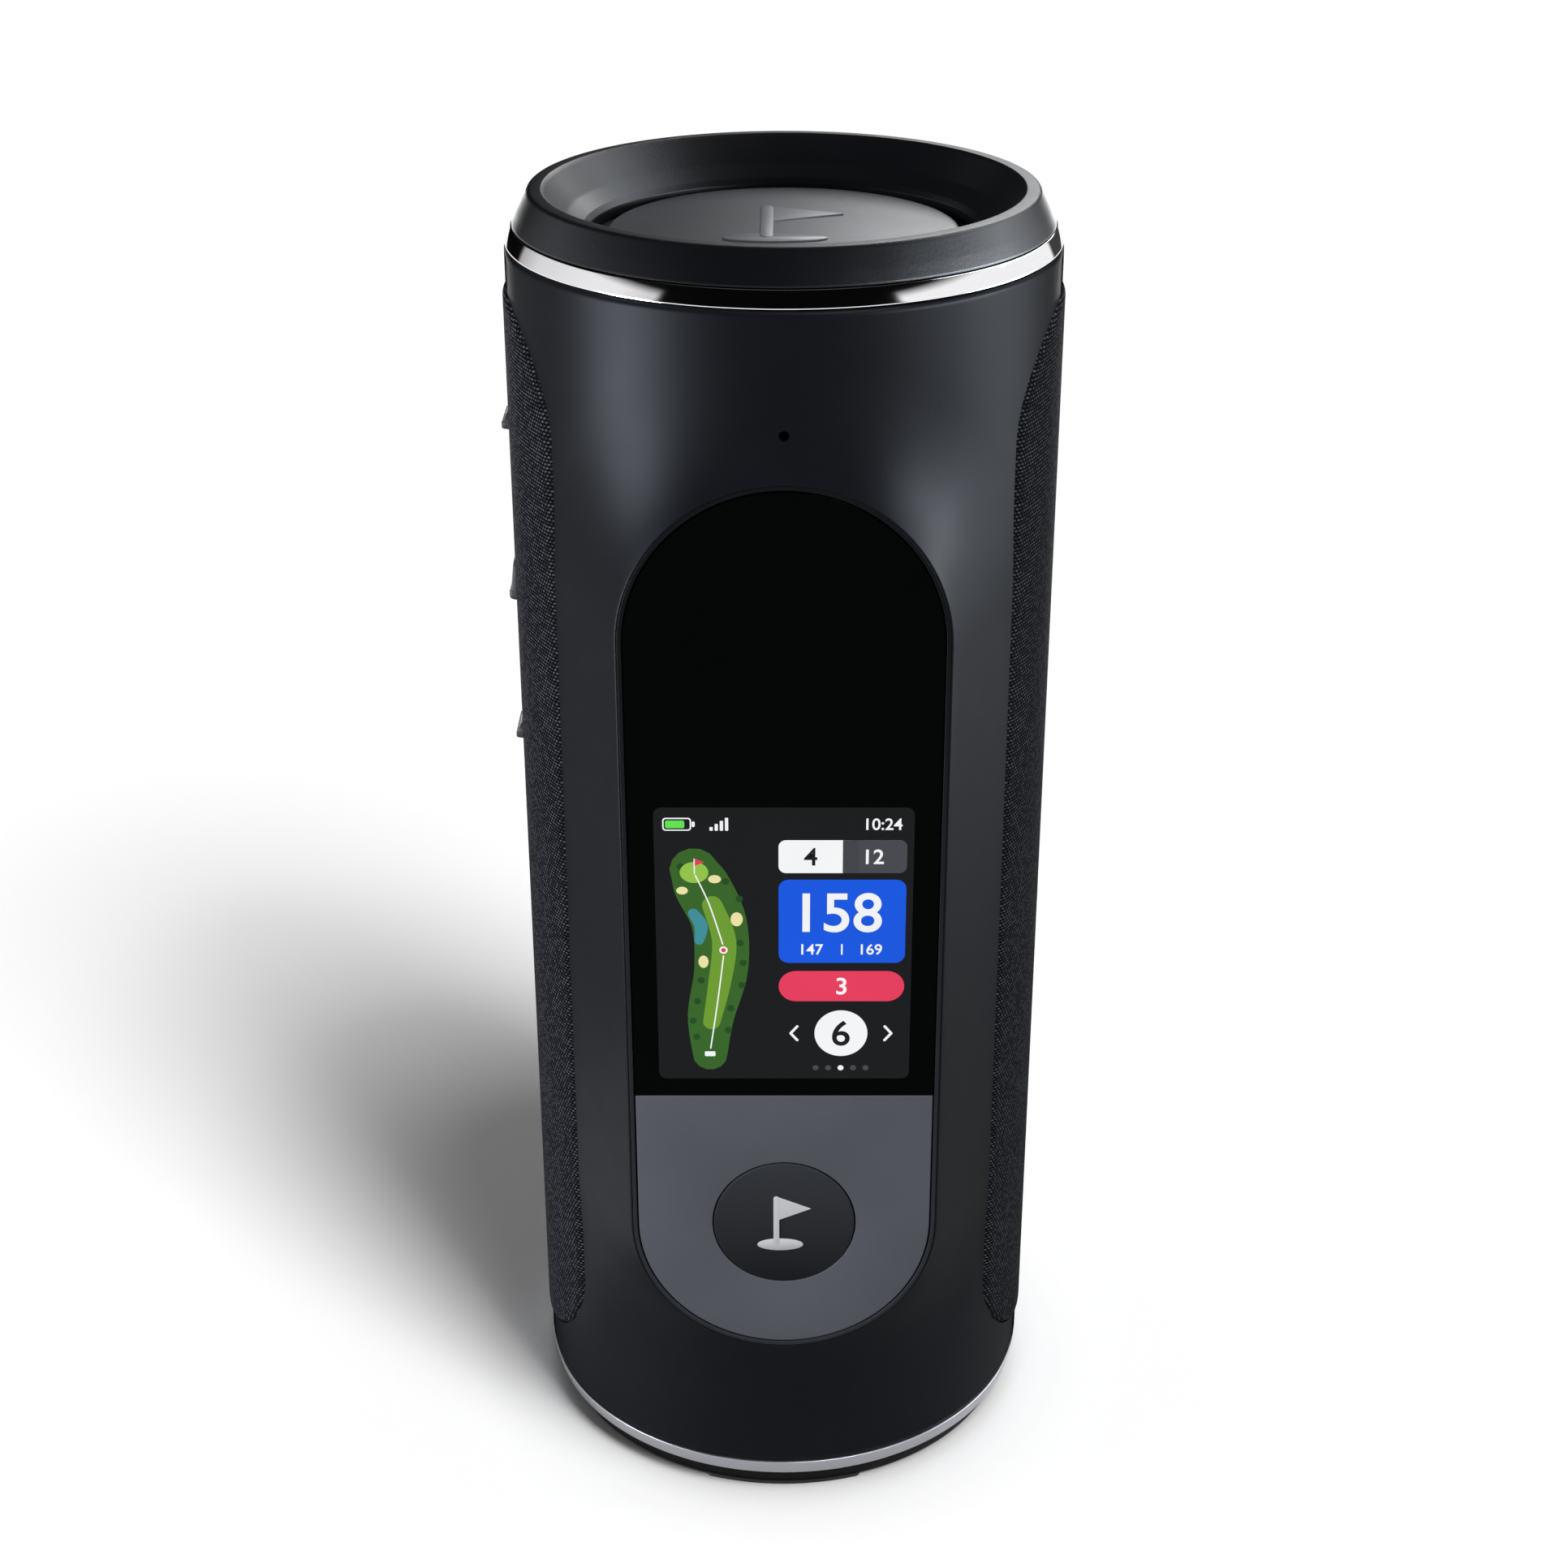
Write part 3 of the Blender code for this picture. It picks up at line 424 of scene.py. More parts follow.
def noise(material, size, detail=2.0, where=None, stretch=None):
    """Noise with features of about the given size in metres."""
    where = where or place_of(material)
    if stretch:
        where = add(material, "ShaderNodeMapping", Vector=where, Scale=stretch).outputs[0]
    return add(material, "ShaderNodeTexNoise", Vector=where, Scale=1 / size, Detail=detail).outputs["Fac"]


def spread(material, fac, low, high):
    """Maps the middle of a noise's range to low..high."""
    return add(material, "ShaderNodeMapRange", Value=fac, From_Min=0.3, From_Max=0.7, To_Min=low,
               To_Max=high).outputs[0]


def tint(material, fac, *stops):
    """Colour ramp of (place, colour) stops."""
    node = add(material, "ShaderNodeValToRGB", Fac=fac)
    elements = node.color_ramp.elements
    while len(elements) < len(stops):
        elements.new(0.5)
    for element, (place, color) in zip(elements, stops):
        element.position = place
        element.color = (*color, 1.0)
    return node.outputs[0]


def greys(*stops):
    """Grey stops for a colour ramp, from (place, level) pairs."""
    return [(place, (level,) * 3) for place, level in stops]


def bump(material, height, depth):
    """Bump that reaches depth, in metres, where the height is 1."""
    return add(material, "ShaderNodeBump", Height=height, Strength=1.0, Distance=depth).outputs[0]


def round_place(material, radius=BODY_RADIUS):
    """Arc length round the body, the same on both sides, and height."""
    axes = axes_of(material, place_of(material))
    across = calc(material, "ABSOLUTE", axes[0])
    angle = calc(material, "ARCTAN2", axes[1], across)
    return calc(material, "MULTIPLY", angle, radius), axes[2]


def shade(color, amount):
    return tuple(channel * amount for channel in color)


def moulded(name, color, rough, grain=0.35 * MM, depth=0.012 * MM, vary=0.12, patches=0.04, gloss=0.5,
            sheen=(1.0, 1.0, 1.0, 1.0)):
    """Moulded plastic or rubber: fine spark-eroded grain, uneven gloss, and slight clouds in its colour."""
    cloud_size, patch_size = 22 * MM, 5 * MM
    material = new_material(name, Specular_IOR_Level=gloss, Specular_Tint=sheen)
    clouds = noise(material, cloud_size, 3.0)
    fine = noise(material, grain, 3.0)
    feed(material,
         Base_Color=tint(material, clouds, (0.35, shade(color, 1 - vary)), (0.65, shade(color, 1 + vary))),
         Roughness=spread(material, noise(material, patch_size, 4.0), rough - patches, rough + patches),
         Normal=bump(material, fine, depth))
    return material


def soft_touch(name, color, rough, stops, **values):
    """Moulded plastic with a soft coat; stops give (turn away, gloss) pairs, from face-on to grazing."""
    material = moulded(name, color, rough, gloss=stops[0][1], **values)
    facing = add(material, "ShaderNodeLayerWeight", Blend=0.5).outputs["Facing"]
    feed(material, Specular_IOR_Level=tint(material, facing, *greys(*stops)))
    return material


def shade_painted_by_height(name, low_color, high_color, bottom, top, rough, **values):
    """Moulded plastic with painted light and shade: its colour changes from its bottom to its top, given as
    heights.
    """
    material = moulded(name, low_color, rough, **values)
    height = axes_of(material, place_of(material))[2]
    share = add(material, "ShaderNodeMapRange", Value=height, From_Min=bottom, From_Max=top).outputs[0]
    # Painted shade: the colour ramps with height in place of the light that falls on the piece.
    feed(material, Base_Color=tint(material, share, (0.0, low_color), (1.0, high_color)))
    return material


def polished(name, color, low, high):
    """Bright metal with faint hairlines and patches of haze."""
    line_width, line_depth, line_stretch, haze_size = 0.10 * MM, 0.0006 * MM, (0.02, 1.0, 1.0), 9 * MM
    material = new_material(name, Metallic=1.0)
    arc_length, height = round_place(material)
    where = add(material, "ShaderNodeCombineXYZ", X=arc_length, Y=height).outputs[0]
    lines = noise(material, line_width, 2.0, where, line_stretch)
    haze = noise(material, haze_size, 3.0)
    feed(material,
         Base_Color=tint(material, lines, (0.3, shade(color, 0.96)), (0.7, color)),
         Roughness=spread(material, haze, low, high),
         Normal=bump(material, lines, line_depth))
    return material


def woven(name, dark, light):
    """Grille cloth: rows of short slanting stitches, each row half a stitch along from the last; the gaps
    between the yarns get painted shade and their crests a painted highlight.
    """
    row_height, stitch, fibre = 0.56 * MM, 0.68 * MM, 0.12 * MM
    slant, fullness, yarn_depth, sway_size = 0.22, 0.6, 0.16 * MM, 3 * MM
    sway, stitch_tones, fibre_tones = (-0.10, 0.10), (0.75, 1.05), (0.8, 1.1)
    material = new_material(name, Roughness=0.88, Specular_IOR_Level=0.01)
    arc_length, height = round_place(material, CLOTH_OUTER)
    wander = spread(material, noise(material, sway_size, 2.0), *sway)
    up = calc(material, "ADD", calc(material, "DIVIDE", height, row_height), wander)
    row = calc(material, "FLOOR", up)
    in_row = calc(material, "FRACT", up)
    shift = calc(material, "MULTIPLY", calc(material, "MODULO", row, 2.0), 0.5)
    lean = calc(material, "MULTIPLY", in_row, slant)
    along = calc(material, "DIVIDE", arc_length, stitch)
    along = calc(material, "ADD", calc(material, "ADD", along, shift), lean)
    column = calc(material, "FLOOR", along)
    in_stitch = calc(material, "FRACT", along)
    hump = calc(material, "SINE", calc(material, "MULTIPLY", in_row, pi))
    swell = calc(material, "SINE", calc(material, "MULTIPLY", in_stitch, pi))
    yarn = calc(material, "MULTIPLY", hump, calc(material, "POWER", swell, fullness))
    cell = add(material, "ShaderNodeCombineXYZ", X=column, Y=row).outputs[0]
    chance = add(material, "ShaderNodeTexWhiteNoise", Vector=cell).outputs["Value"]
    tone = calc(material, "MULTIPLY", yarn, spread(material, chance, *stitch_tones))
    tone = calc(material, "MULTIPLY", tone, spread(material, noise(material, fibre, 3.0), *fibre_tones))
    # Painted shade in the gaps between yarns and painted highlight on their crests; the stitch and fibre
    # tones are random.
    feed(material,
         Base_Color=tint(material, tone, (0.10, shade(dark, 0.30)), (0.50, dark), (0.92, light)),
         Normal=bump(material, yarn, yarn_depth))
    return material


def lit(name, color):
    """A part of the lit page: its own light, in fine dots and slightly uneven, under a glossy surface."""
    dot, dot_share, cloud_size = 0.09 * MM, 0.06, 14 * MM
    material = new_material(name, Base_Color=(0.0, 0.0, 0.0, 1.0), Roughness=0.08, Specular_IOR_Level=0.1,
                            Emission_Strength=1.0)
    dots = add(material, "ShaderNodeTexChecker", Vector=place_of(material), Scale=1 / dot).outputs["Fac"]
    tone = calc(material, "MULTIPLY", dots, dot_share)
    tone = calc(material, "ADD", tone, noise(material, cloud_size, 1.0))
    feed(material, Emission_Color=tint(material, tone, (0.3, shade(color, 0.92)), (0.75, color)))
    return material


SHEEN = (0.80, 0.88, 1.0, 1.0)
SHELL = soft_touch("shell_finish", (0.0032, 0.0039, 0.0056), 0.43,
                   ((0.30, 0.050), (0.50, 0.030), (0.68, 0.014), (0.90, 0.0)),
                   patches=0.012, sheen=SHEEN)
BUMPER = soft_touch("bumper_finish", (0.0043, 0.0048, 0.0062), 0.40,
                    ((0.08, 0.25), (0.30, 0.42), (0.42, 0.50), (0.50, 0.42), (0.66, 0.30)),
                    grain=0.5 * MM, depth=0.02 * MM, patches=0.015, sheen=SHEEN)
BASE = moulded("base_finish", (0.0028, 0.0030, 0.0038), 0.60, 0.5 * MM, 0.02 * MM, gloss=0.03)
# Bezel: painted light at the bottom and painted shade at the top, as light falls on it.
BEZEL = shade_painted_by_height("bezel_finish", (0.0185, 0.0206, 0.0250), (0.0030, 0.0034, 0.0042), FACE_LOW, FACE_HIGH, 0.42,
               gloss=0.05, sheen=SHEEN)
PLATE = moulded("plate_finish", (0.066, 0.071, 0.085), 0.50, vary=0.05, gloss=0.12, sheen=SHEEN)
# Button: painted highlight at the top, fading to painted shade at the bottom.
BUTTON = shade_painted_by_height("button_finish", (0.0030, 0.0033, 0.0042), (0.0250, 0.0275, 0.0325), FACE_LOW - BUTTON_RADIUS,
                FACE_LOW + BUTTON_RADIUS, 0.42, gloss=0.08, sheen=SHEEN)
DISC = moulded("disc_finish", (0.0140, 0.0150, 0.0185), 0.37, patches=0.012, sheen=SHEEN)
EMBLEM = moulded("emblem_finish", (0.0700, 0.0735, 0.0815), 0.37, patches=0.012, gloss=0.70, sheen=SHEEN)
KEYS = moulded("key_finish", (0.0300, 0.0325, 0.0380), 0.55, gloss=0.16)
RUBBER = moulded("rubber_finish", (0.0060, 0.0060, 0.0066), 0.70, 0.6 * MM, 0.02 * MM, gloss=0.25)
CHROME = polished("chrome_finish", (0.88, 0.88, 0.90), 0.04, 0.09)
SATIN = polished("satin_finish", (0.33, 0.34, 0.365), 0.28, 0.36)
# Cloth: the light colour is the painted highlight on the yarn crests; the gaps get painted shade.
CLOTH = woven("cloth_finish", (0.0085, 0.0098, 0.0128), (0.085, 0.094, 0.114))
GLASS = moulded("glass_finish", (0.0004, 0.0008, 0.0006), 0.08, 40 * MM, 0.002 * MM, gloss=0.015)
MARK = moulded("mark_finish", (0.45, 0.46, 0.49), 0.50)
CONTACT = polished("contact_finish", (0.62, 0.44, 0.20), 0.25, 0.35)


# Housing

def rim_target(way, share):
    """Where a line from the face's outline ends: on the back line, or on an end rim."""
    end = HOUSING_HIGH - RIM_ROUND if way > 0 else HOUSING_LOW + RIM_ROUND
    start = FACE_HIGH if way > 0 else FACE_LOW
    if share <= BACK_SHARE:
        return pi, start + (end - start) * share / BACK_SHARE
    return pi * (1 - (share - BACK_SHARE) / (1 - BACK_SHARE)), end


def face_loop():
    """Round the face's outline: side, direction, middle of its arc, and the target of its line."""
    right = []
    for i in range(ARC_STEPS):
        share = 1 - i / ARC_STEPS
        right.append((-share * pi / 2, FACE_LOW, rim_target(-1, share)))
    for i in range(SIDE_STEPS):
        z = FACE_LOW + (FACE_HIGH - FACE_LOW) * i / SIDE_STEPS
        right.append((0.0, z, (pi, z)))
    for i in range(ARC_STEPS + 1):
        share = i / ARC_STEPS
        right.append((share * pi / 2, FACE_HIGH, rim_target(1, share)))
    return [(1, *entry) for entry in right] + [(-1, *entry) for entry in right[-2:0:-1]]


def housing_line(side, direction, middle, target):
    """Points from the recess floor over the crease and the cheek, and round the body to the target."""
    way = Vector((cos(direction), 0, sin(direction)))
    deep = Vector((0, 1, 0))

    def on_face(half, y):
        return Vector((0, y, middle)) + half * way
    recess, lip_depth, lip_width = FACE_HALF + RECESS_GROW, 0.05 * MM, 0.03 * MM
    line = [on_face(recess, FLOOR_Y), on_face(recess, FACE_Y + lip_depth),
            on_face(recess + lip_width, FACE_Y)]
    edge = on_face(CREASE_HALF, FACE_Y)
    lean = 2 * atan(edge.x / BODY_RADIUS)
    run = CREASE_HALF * cos(lean)
    end = around(BODY_RADIUS, lean, edge.z + CHEEK_SWEEP * run * way.z)
    fold = atan2(end.y - edge.y, run)
    reach = CREASE_ROUND * tan(fold / 2)
    centre = edge - reach * way + CREASE_ROUND * deep
    for k in range(CREASE_STEPS + 1):
        turn = fold * k / CREASE_STEPS
        line.append(centre + CREASE_ROUND * (sin(turn) * way - cos(turn) * deep))
    start = line[-1]
    for k in range(1, CHEEK_STEPS + 1):
        line.append(start.lerp(end, k / CHEEK_STEPS))
    azimuth, z = target
    for k in range(1, BACK_STEPS + 1):
        t = k / BACK_STEPS
        line.append(around(BODY_RADIUS, lean + (azimuth - lean) * t, end.z + (z - end.z) * t))
    return [Vector((side * p.x, p.y, p.z)) for p in line]


def make_housing():
    """The shell: lines from the face's outline to the rims, the rims, and the holes cut into it."""
    shape = bmesh.new()
    loop = face_loop()
    lines = [[shape.verts.new(p) for p in housing_line(*entry)] for entry in loop]
    for i, line in enumerate(lines):
        other = lines[(i + 1) % len(lines)]
        for k in range(len(line) - 1):
            shape.faces.new((line[k], other[k], other[k + 1], line[k + 1]))
    shape.faces.new([line[0] for line in lines])
    inner_rings = []
    for way, end in ((1, HOUSING_HIGH), (-1, HOUSING_LOW)):
        rim = []
        for (side, direction, middle, target), line in zip(loop, lines):
            on_rim = abs(target[1] - (end - way * RIM_ROUND)) < NEAR
            if on_rim and not (side < 0 and target[0] > pi - NEAR):
                rim.append((side * target[0], line[-1]))
        rim.sort(key=lambda entry: entry[0])
        rings = [[vertex for angle, vertex in rim]]
        centre = BODY_RADIUS - RIM_ROUND, end - way * RIM_ROUND
        profile = arc(*centre, RIM_ROUND, 0, way * 90, CREASE_STEPS)[1:] + [(BORE_RADIUS, end)]
        for radius, z in profile:
            rings.append([shape.verts.new(around(radius, angle, z)) for angle, vertex in rim])
        skin(shape, rings)
        inner_rings.append(rings[-1])
    bridge(shape, *inner_rings)
    housing = to_object("housing_shell", shape, SHELL)

    far, halfway, deep = 2 * BODY_RADIUS, 0.5 * BODY_RADIUS, 0.8 * BODY_RADIUS
    pinhole, stem_hole, pocket_depth, drop = 0.75 * MM, 3.8 * MM, 2.1 * MM, 0.55 * MM
    pocket_corner, port_corner, screen_corner = 3.3 * MM, 1.85 * MM, 0.6 * MM

    def opening(node, corner):
        """A node's outline from the front, with a gap round it."""
        high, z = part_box(node)[1], middle_z(node)
        return card(0, z, high.x + GAP, high.z - z + GAP, corner)(0)
    window = card(0, (PANEL_LOW + PANEL_HIGH) / 2, PANEL_HALF, (PANEL_HIGH - PANEL_LOW) / 2,
                  PANEL_CORNER, steps=24)(0)
    low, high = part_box("port_cover")
    pocket = card(0, middle_z("port_cover") - (drop - GAP) / 2, high.x + GAP,
                  (high.z - low.z + GAP + drop) / 2, pocket_corner)(0)
    cut(housing, [prism_cutter(*cutter) for cutter in (
        ("left_window", window, -far, -halfway, "X"),
        ("right_window", window, halfway, far, "X"),
        ("pinhole", disc(0, middle_z("microphone"), pinhole)(0), -far, -deep, "Y"),
        ("stem_hole", disc(0, FACE_LOW, stem_hole)(0), FLOOR_Y - GAP, -deep, "Y"),
        ("screen_hole", opening("display_module", screen_corner), FLOOR_Y - GAP, -deep, "Y"),
        ("pocket", pocket, BODY_RADIUS - pocket_depth, far, "Y"),
        ("port_hole", opening("usb_port", port_corner), deep, far, "Y"),
    )], SHELL_SHARP)
    dress(housing, "body", "shell", "housing")


# Rings at the ends

def make_rings():
    """Turned rings from corners of (radius in mm, height, rounding in mm)."""
    mouth, spigot, liner, base_top, foot = 28.8, SPIGOT_RADIUS / MM, 37.85, 3.75 * MM, 0.4 * MM
    bumper_low, bumper_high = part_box("top_bumper")
    trim_low, trim_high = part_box("top_trim_ring")
    band_low, band_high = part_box("bottom_trim_ring")
    base_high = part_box("base_bumper")[1]
    seat, crest, shoulder = bumper_low.z, bumper_high.z, trim_high.z + 0.15 * MM
    outer, base_outer = bumper_high.x / MM, base_high.x / MM
    for name, material, slot, node, steps, corners in (
        ("top_bumper_ring", BUMPER, "bumper", "top_bumper", 7, (
            (34.85, crest - 0.40 * MM, 0.25), (35.30, crest, 0.40), (37.30, crest - 0.05 * MM, 0.9),
            (38.90, 204.7 * MM, 5.0), (outer, shoulder + 0.3 * MM, 0.3), (outer, shoulder, 0.1),
            (spigot, shoulder, 0), (spigot, seat, 0), (mouth, seat, 0),
            (mouth, 201.1 * MM, 0.4), (29.45, 201.9 * MM, 0.9), (31.60, 203.7 * MM, 5.0))),
        ("chrome_band", CHROME, "chrome", "top_trim_ring", 4, (
            (39.9, trim_high.z, 0.22), (41.0, trim_low.z, 0.22),
            (liner, trim_low.z, 0), (liner, trim_high.z, 0))),
        ("satin_band", SATIN, "satin_trim", "bottom_trim_ring", 4, (
            (41.0, band_high.z, 0.28), (40.45, band_low.z, 0.15),
            (liner, band_low.z, 0), (liner, band_high.z, 0))),
        ("base_ring", BASE, "bumper", "base_bumper", 5, (
            (spigot, base_high.z, 0), (spigot, base_top, 0), (base_outer, base_top, 0.12), (38.5, foot, 0.7),
            (34.3, foot, 0.5), (mouth, base_high.z - 2.4 * MM, 0.4), (mouth, base_high.z, 0))),
    ):
        profile = filleted([(radius * MM, z, rounding * MM) for radius, z, rounding in corners], steps)
        dress(turned(name, profile, material), "body", slot, node)
    make_feet(foot)


def make_feet(height):
    """Four low arcs under the base, with round corners and edges."""
    inner, outer, half_angle = 34.6 * MM, 38.75 * MM, radians(19.5)
    soft, softer, corner, sunk = 0.2 * MM, 0.06 * MM, 0.9 * MM, 0.3 * MM
    centre, half_width = (outer + inner) / 2, (outer - inner) / 2
    reach, steps = centre * half_angle - corner, 16

    def pad(grow):
        """Points along the arc and across it."""
        side, radius = half_width - corner, corner + grow
        along = [reach * (1 - 2 * k / steps) for k in range(1, steps)]
        return (arc(reach, -side, radius, -90, 0, 6) + arc(reach, side, radius, 0, 90, 6)
                + [(u, side + radius) for u in along]
                + arc(-reach, side, radius, 90, 180, 6) + arc(-reach, -side, radius, 180, 270, 6)
                + [(-u, -side - radius) for u in along])
    for index in range(4):
        middle = index * pi / 2
        shape = bmesh.new()
        rings = []
        for inset, z in ((0, height + sunk), (0, soft), (softer, softer), (soft, 0)):
            turns = [(middle + u / centre, centre + v) for u, v in pad(-inset)]
            rings.append([shape.verts.new((r * cos(a), r * sin(a), z)) for a, r in turns])
        skin(shape, rings)
        shape.faces.new(rings[0])
        shape.faces.new(rings[-1])
        dress(to_object(f"foot_{index + 1}", shape, RUBBER), "body", "bumper")


# Radiators

def make_radiators():
    """At both ends: a slightly domed disc, and the rubber roll that it hangs in."""
    rim, dome = 25.9 * MM, 0.55 * MM
    inner, outer, thick, roll_steps = 26.2 * MM, 29.7 * MM, 0.6 * MM, 14
    for end, way in (("top", 1), ("bottom", -1)):
        low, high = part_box(f"{end}_radiator_disc")
        base, tip = (low.z, high.z) if way > 0 else (high.z, low.z)
        steps = (0.0, 0.15, 0.3, 0.45, 0.6, 0.72, 0.82, 0.9, 0.95)
        crown = [(rim * t, tip - way * dome * t ** 2) for t in steps]
        edge = [(rim - inset * MM, tip - way * drop * MM)
                for inset, drop in ((0.70, 0.56), (0.42, 0.64), (0.18, 0.80), (0.05, 1.02), (0.0, 1.3))]
        profile = crown + edge + [(rim, base), (0, base)]
        cone = turned(f"{end}_disc", profile, DISC, closed=False)
        dress(cone, f"{end}_radiator", "disc", f"{end}_radiator_disc")

        low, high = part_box(f"{end}_radiator_surround")
        lip, border = high.z if way > 0 else low.z, high.x
        middle, radius = (inner + outer) / 2, (outer - inner) / 2
        turns = [pi * k / roll_steps for k in range(roll_steps + 1)]
        under = [(middle - radius * cos(a), lip - way * (thick + (radius - thick / 2) * sin(a)))
                 for a in turns]
        over = [(middle + (radius - thick) * cos(a), lip - way * (radius - thick) * sin(a))
                for a in turns]
        roll = under + [(border, lip - way * thick), (border, lip)] + over + [(inner, lip)]
        ring = turned(f"{end}_roll", roll, RUBBER)
        dress(ring, "body", "soft_rubber", f"{end}_radiator_surround")


# Face pieces

def make_face():
    button_gap, stem, stroke, button_steps = 0.22 * MM, 3.5 * MM, 0.65 * MM, 128
    inside, outside = BEZEL_GROW
    button_hole = disc(0, FACE_LOW, BUTTON_RADIUS + button_gap, steps=96)
    for name, material, slot, node, outline, front, edge, holes in (
        ("bezel_band", BEZEL, "shell", "face_bezel", pill(outside), FACE_Y, 0.09 * MM, [pill(inside)]),
        ("glass_pane", GLASS, "glass", "display_glass", arch, GLASS_Y, 0.12 * MM, []),
        ("control_panel", PLATE, "plate", "control_plate", bowl, GLASS_Y, 0.15 * MM, [button_hole]),
    ):
        dress(plate(name, material, outline, front, PIECE_BACK, edge, holes), "body", slot, node)

    low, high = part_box("main_button")
    cap, length = FLOOR_Y - FACE_Y - stroke, high.y - low.y
    brim = 0.97
    dish = [(t, BUTTON_DISH * (1 - (t / brim) ** 2)) for t in (0.0, 0.2, 0.4, 0.6, 0.75, 0.87, 0.94, brim)]
    edge = [(0.985, 0.0), (0.992, 0.01 * MM), (0.998, 0.05 * MM), (1.0, 0.12 * MM), (1.0, cap)]
    profile = [(BUTTON_RADIUS * t, depth) for t, depth in dish + edge]
    profile += [(stem, cap), (stem, length), (0, length)]
    facing = Matrix.Translation((0, low.y, FACE_LOW)) @ Matrix.Rotation(radians(-90), 4, "X")
    button = turned("round_button", profile, BUTTON, closed=False, matrix=facing, steps=button_steps)
    dress(button, "main_button", "button", "main_button")


# Marks and the lit page

def bar(x0, z0, x1, z1, half_width, steps=6):
    """A straight stroke with round ends."""
    heading = degrees(atan2(z1 - z0, x1 - x0))

    def outline(grow):
        radius = half_width + grow
        return (arc(x1, z1, radius, heading - 90, heading + 90, steps)
                + arc(x0, z0, radius, heading + 90, heading + 270, steps))
    return outline


def polygon(*points):
    """Straight-sided outline, anticlockwise; it grows outwards from its edges."""
    sharpest = 0.3

    def outline(grow):
        grown = []
        for i, point in enumerate(points):
            here = Vector(point)
            before = (here - Vector(points[i - 1])).normalized()
            after = (Vector(points[(i + 1) % len(points)]) - here).normalized()
            out = Vector((before.y + after.y, -before.x - after.x)).normalized()
            share = max(sharpest, out.dot(Vector((before.y, -before.x))))
            grown.append(tuple(here + out * grow / share))
        return grown
    return outline


def flag_outlines(scale):
    """A golf flag: pole, pennant and the green that it stands in, from the front layer to the back one."""
    return [
        bar(-0.12 * scale, -0.38 * scale, -0.12 * scale, 0.44 * scale, 0.045 * scale),
        polygon((-0.12 * scale, 0.03 * scale), (0.42 * scale, 0.255 * scale), (-0.12 * scale, 0.48 * scale)),
        disc(-0.06 * scale, -0.42 * scale, 0.36 * scale, 48, 0.30),
    ]


def make_mark(name, material, outlines, front, step, back, edge, matrix, body, slot):
    """A mark in layers a step apart in depth, drawn round the origin and then put in place."""
    shape = bmesh.new()
    for layer, outline in enumerate(outlines):
        slab(shape, outline, front + step * layer, back, edge)
    bmesh.ops.transform(shape, matrix=matrix, verts=shape.verts)
    dress(to_object(name, shape, material), body, slot)


def make_flags():
    """The flags on the button and on the top disc."""
    on_button = Matrix.Translation((0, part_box("main_button")[0].y, FACE_LOW))
    make_mark("button_mark", MARK, flag_outlines(10.0 * MM), front=0.14 * MM, step=0.02 * MM,
              back=0.5 * MM, edge=0.03 * MM, matrix=on_button, body="main_button", slot="button")
    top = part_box("top_radiator_disc")[1].z
    on_disc = Matrix.Translation((0, 0, top)) @ Matrix.Rotation(radians(-90), 4, "X")
    make_mark("disc_mark", EMBLEM, flag_outlines(21.0 * MM), front=-0.22 * MM, step=0.05 * MM,
              back=0.6 * MM, edge=0.10 * MM, matrix=on_disc, body="top_radiator", slot="disc")


def flowing(points, steps=6):
    """A smooth line of (u, v, half width) through the given ones."""
    line = []
    for i in range(len(points) - 1):
        p0 = Vector(points[max(i - 1, 0)])
        p1, p2 = Vector(points[i]), Vector(points[i + 1])
        p3 = Vector(points[min(i + 2, len(points) - 1)])
        for k in range(steps + (i == len(points) - 2)):
            t = k / steps
            line.append(0.5 * (2 * p1 + (p2 - p0) * t + (2 * p0 - 5 * p1 + 4 * p2 - p3) * t ** 2
                               + (3 * p1 - p0 - 3 * p2 + p3) * t ** 3))
    return line


def ribbon(points, ends=7):
    """A band that follows a flowing line, with round ends."""
    line = flowing(points)

    def outline(grow):
        right, left = [], []
        for i, point in enumerate(line):
            ahead = line[min(i + 1, len(line) - 1)] - line[max(i - 1, 0)]
            way = Vector((ahead.x, ahead.y)).normalized()
            out = Vector((way.y, -way.x)) * (point.z + grow)
            right.append((point.x + out.x, point.y + out.y))
            left.append((point.x - out.x, point.y - out.y))
        caps = []
        for tip, before in ((line[-1], line[-2]), (line[0], line[1])):
            heading = degrees(atan2(tip.y - before.y, tip.x - before.x))
            caps.append(arc(tip.x, tip.y, tip.z + grow, heading - 90, heading + 90, ends)[1:-1])
        return right + caps[0] + left[::-1] + caps[1]
    return outline


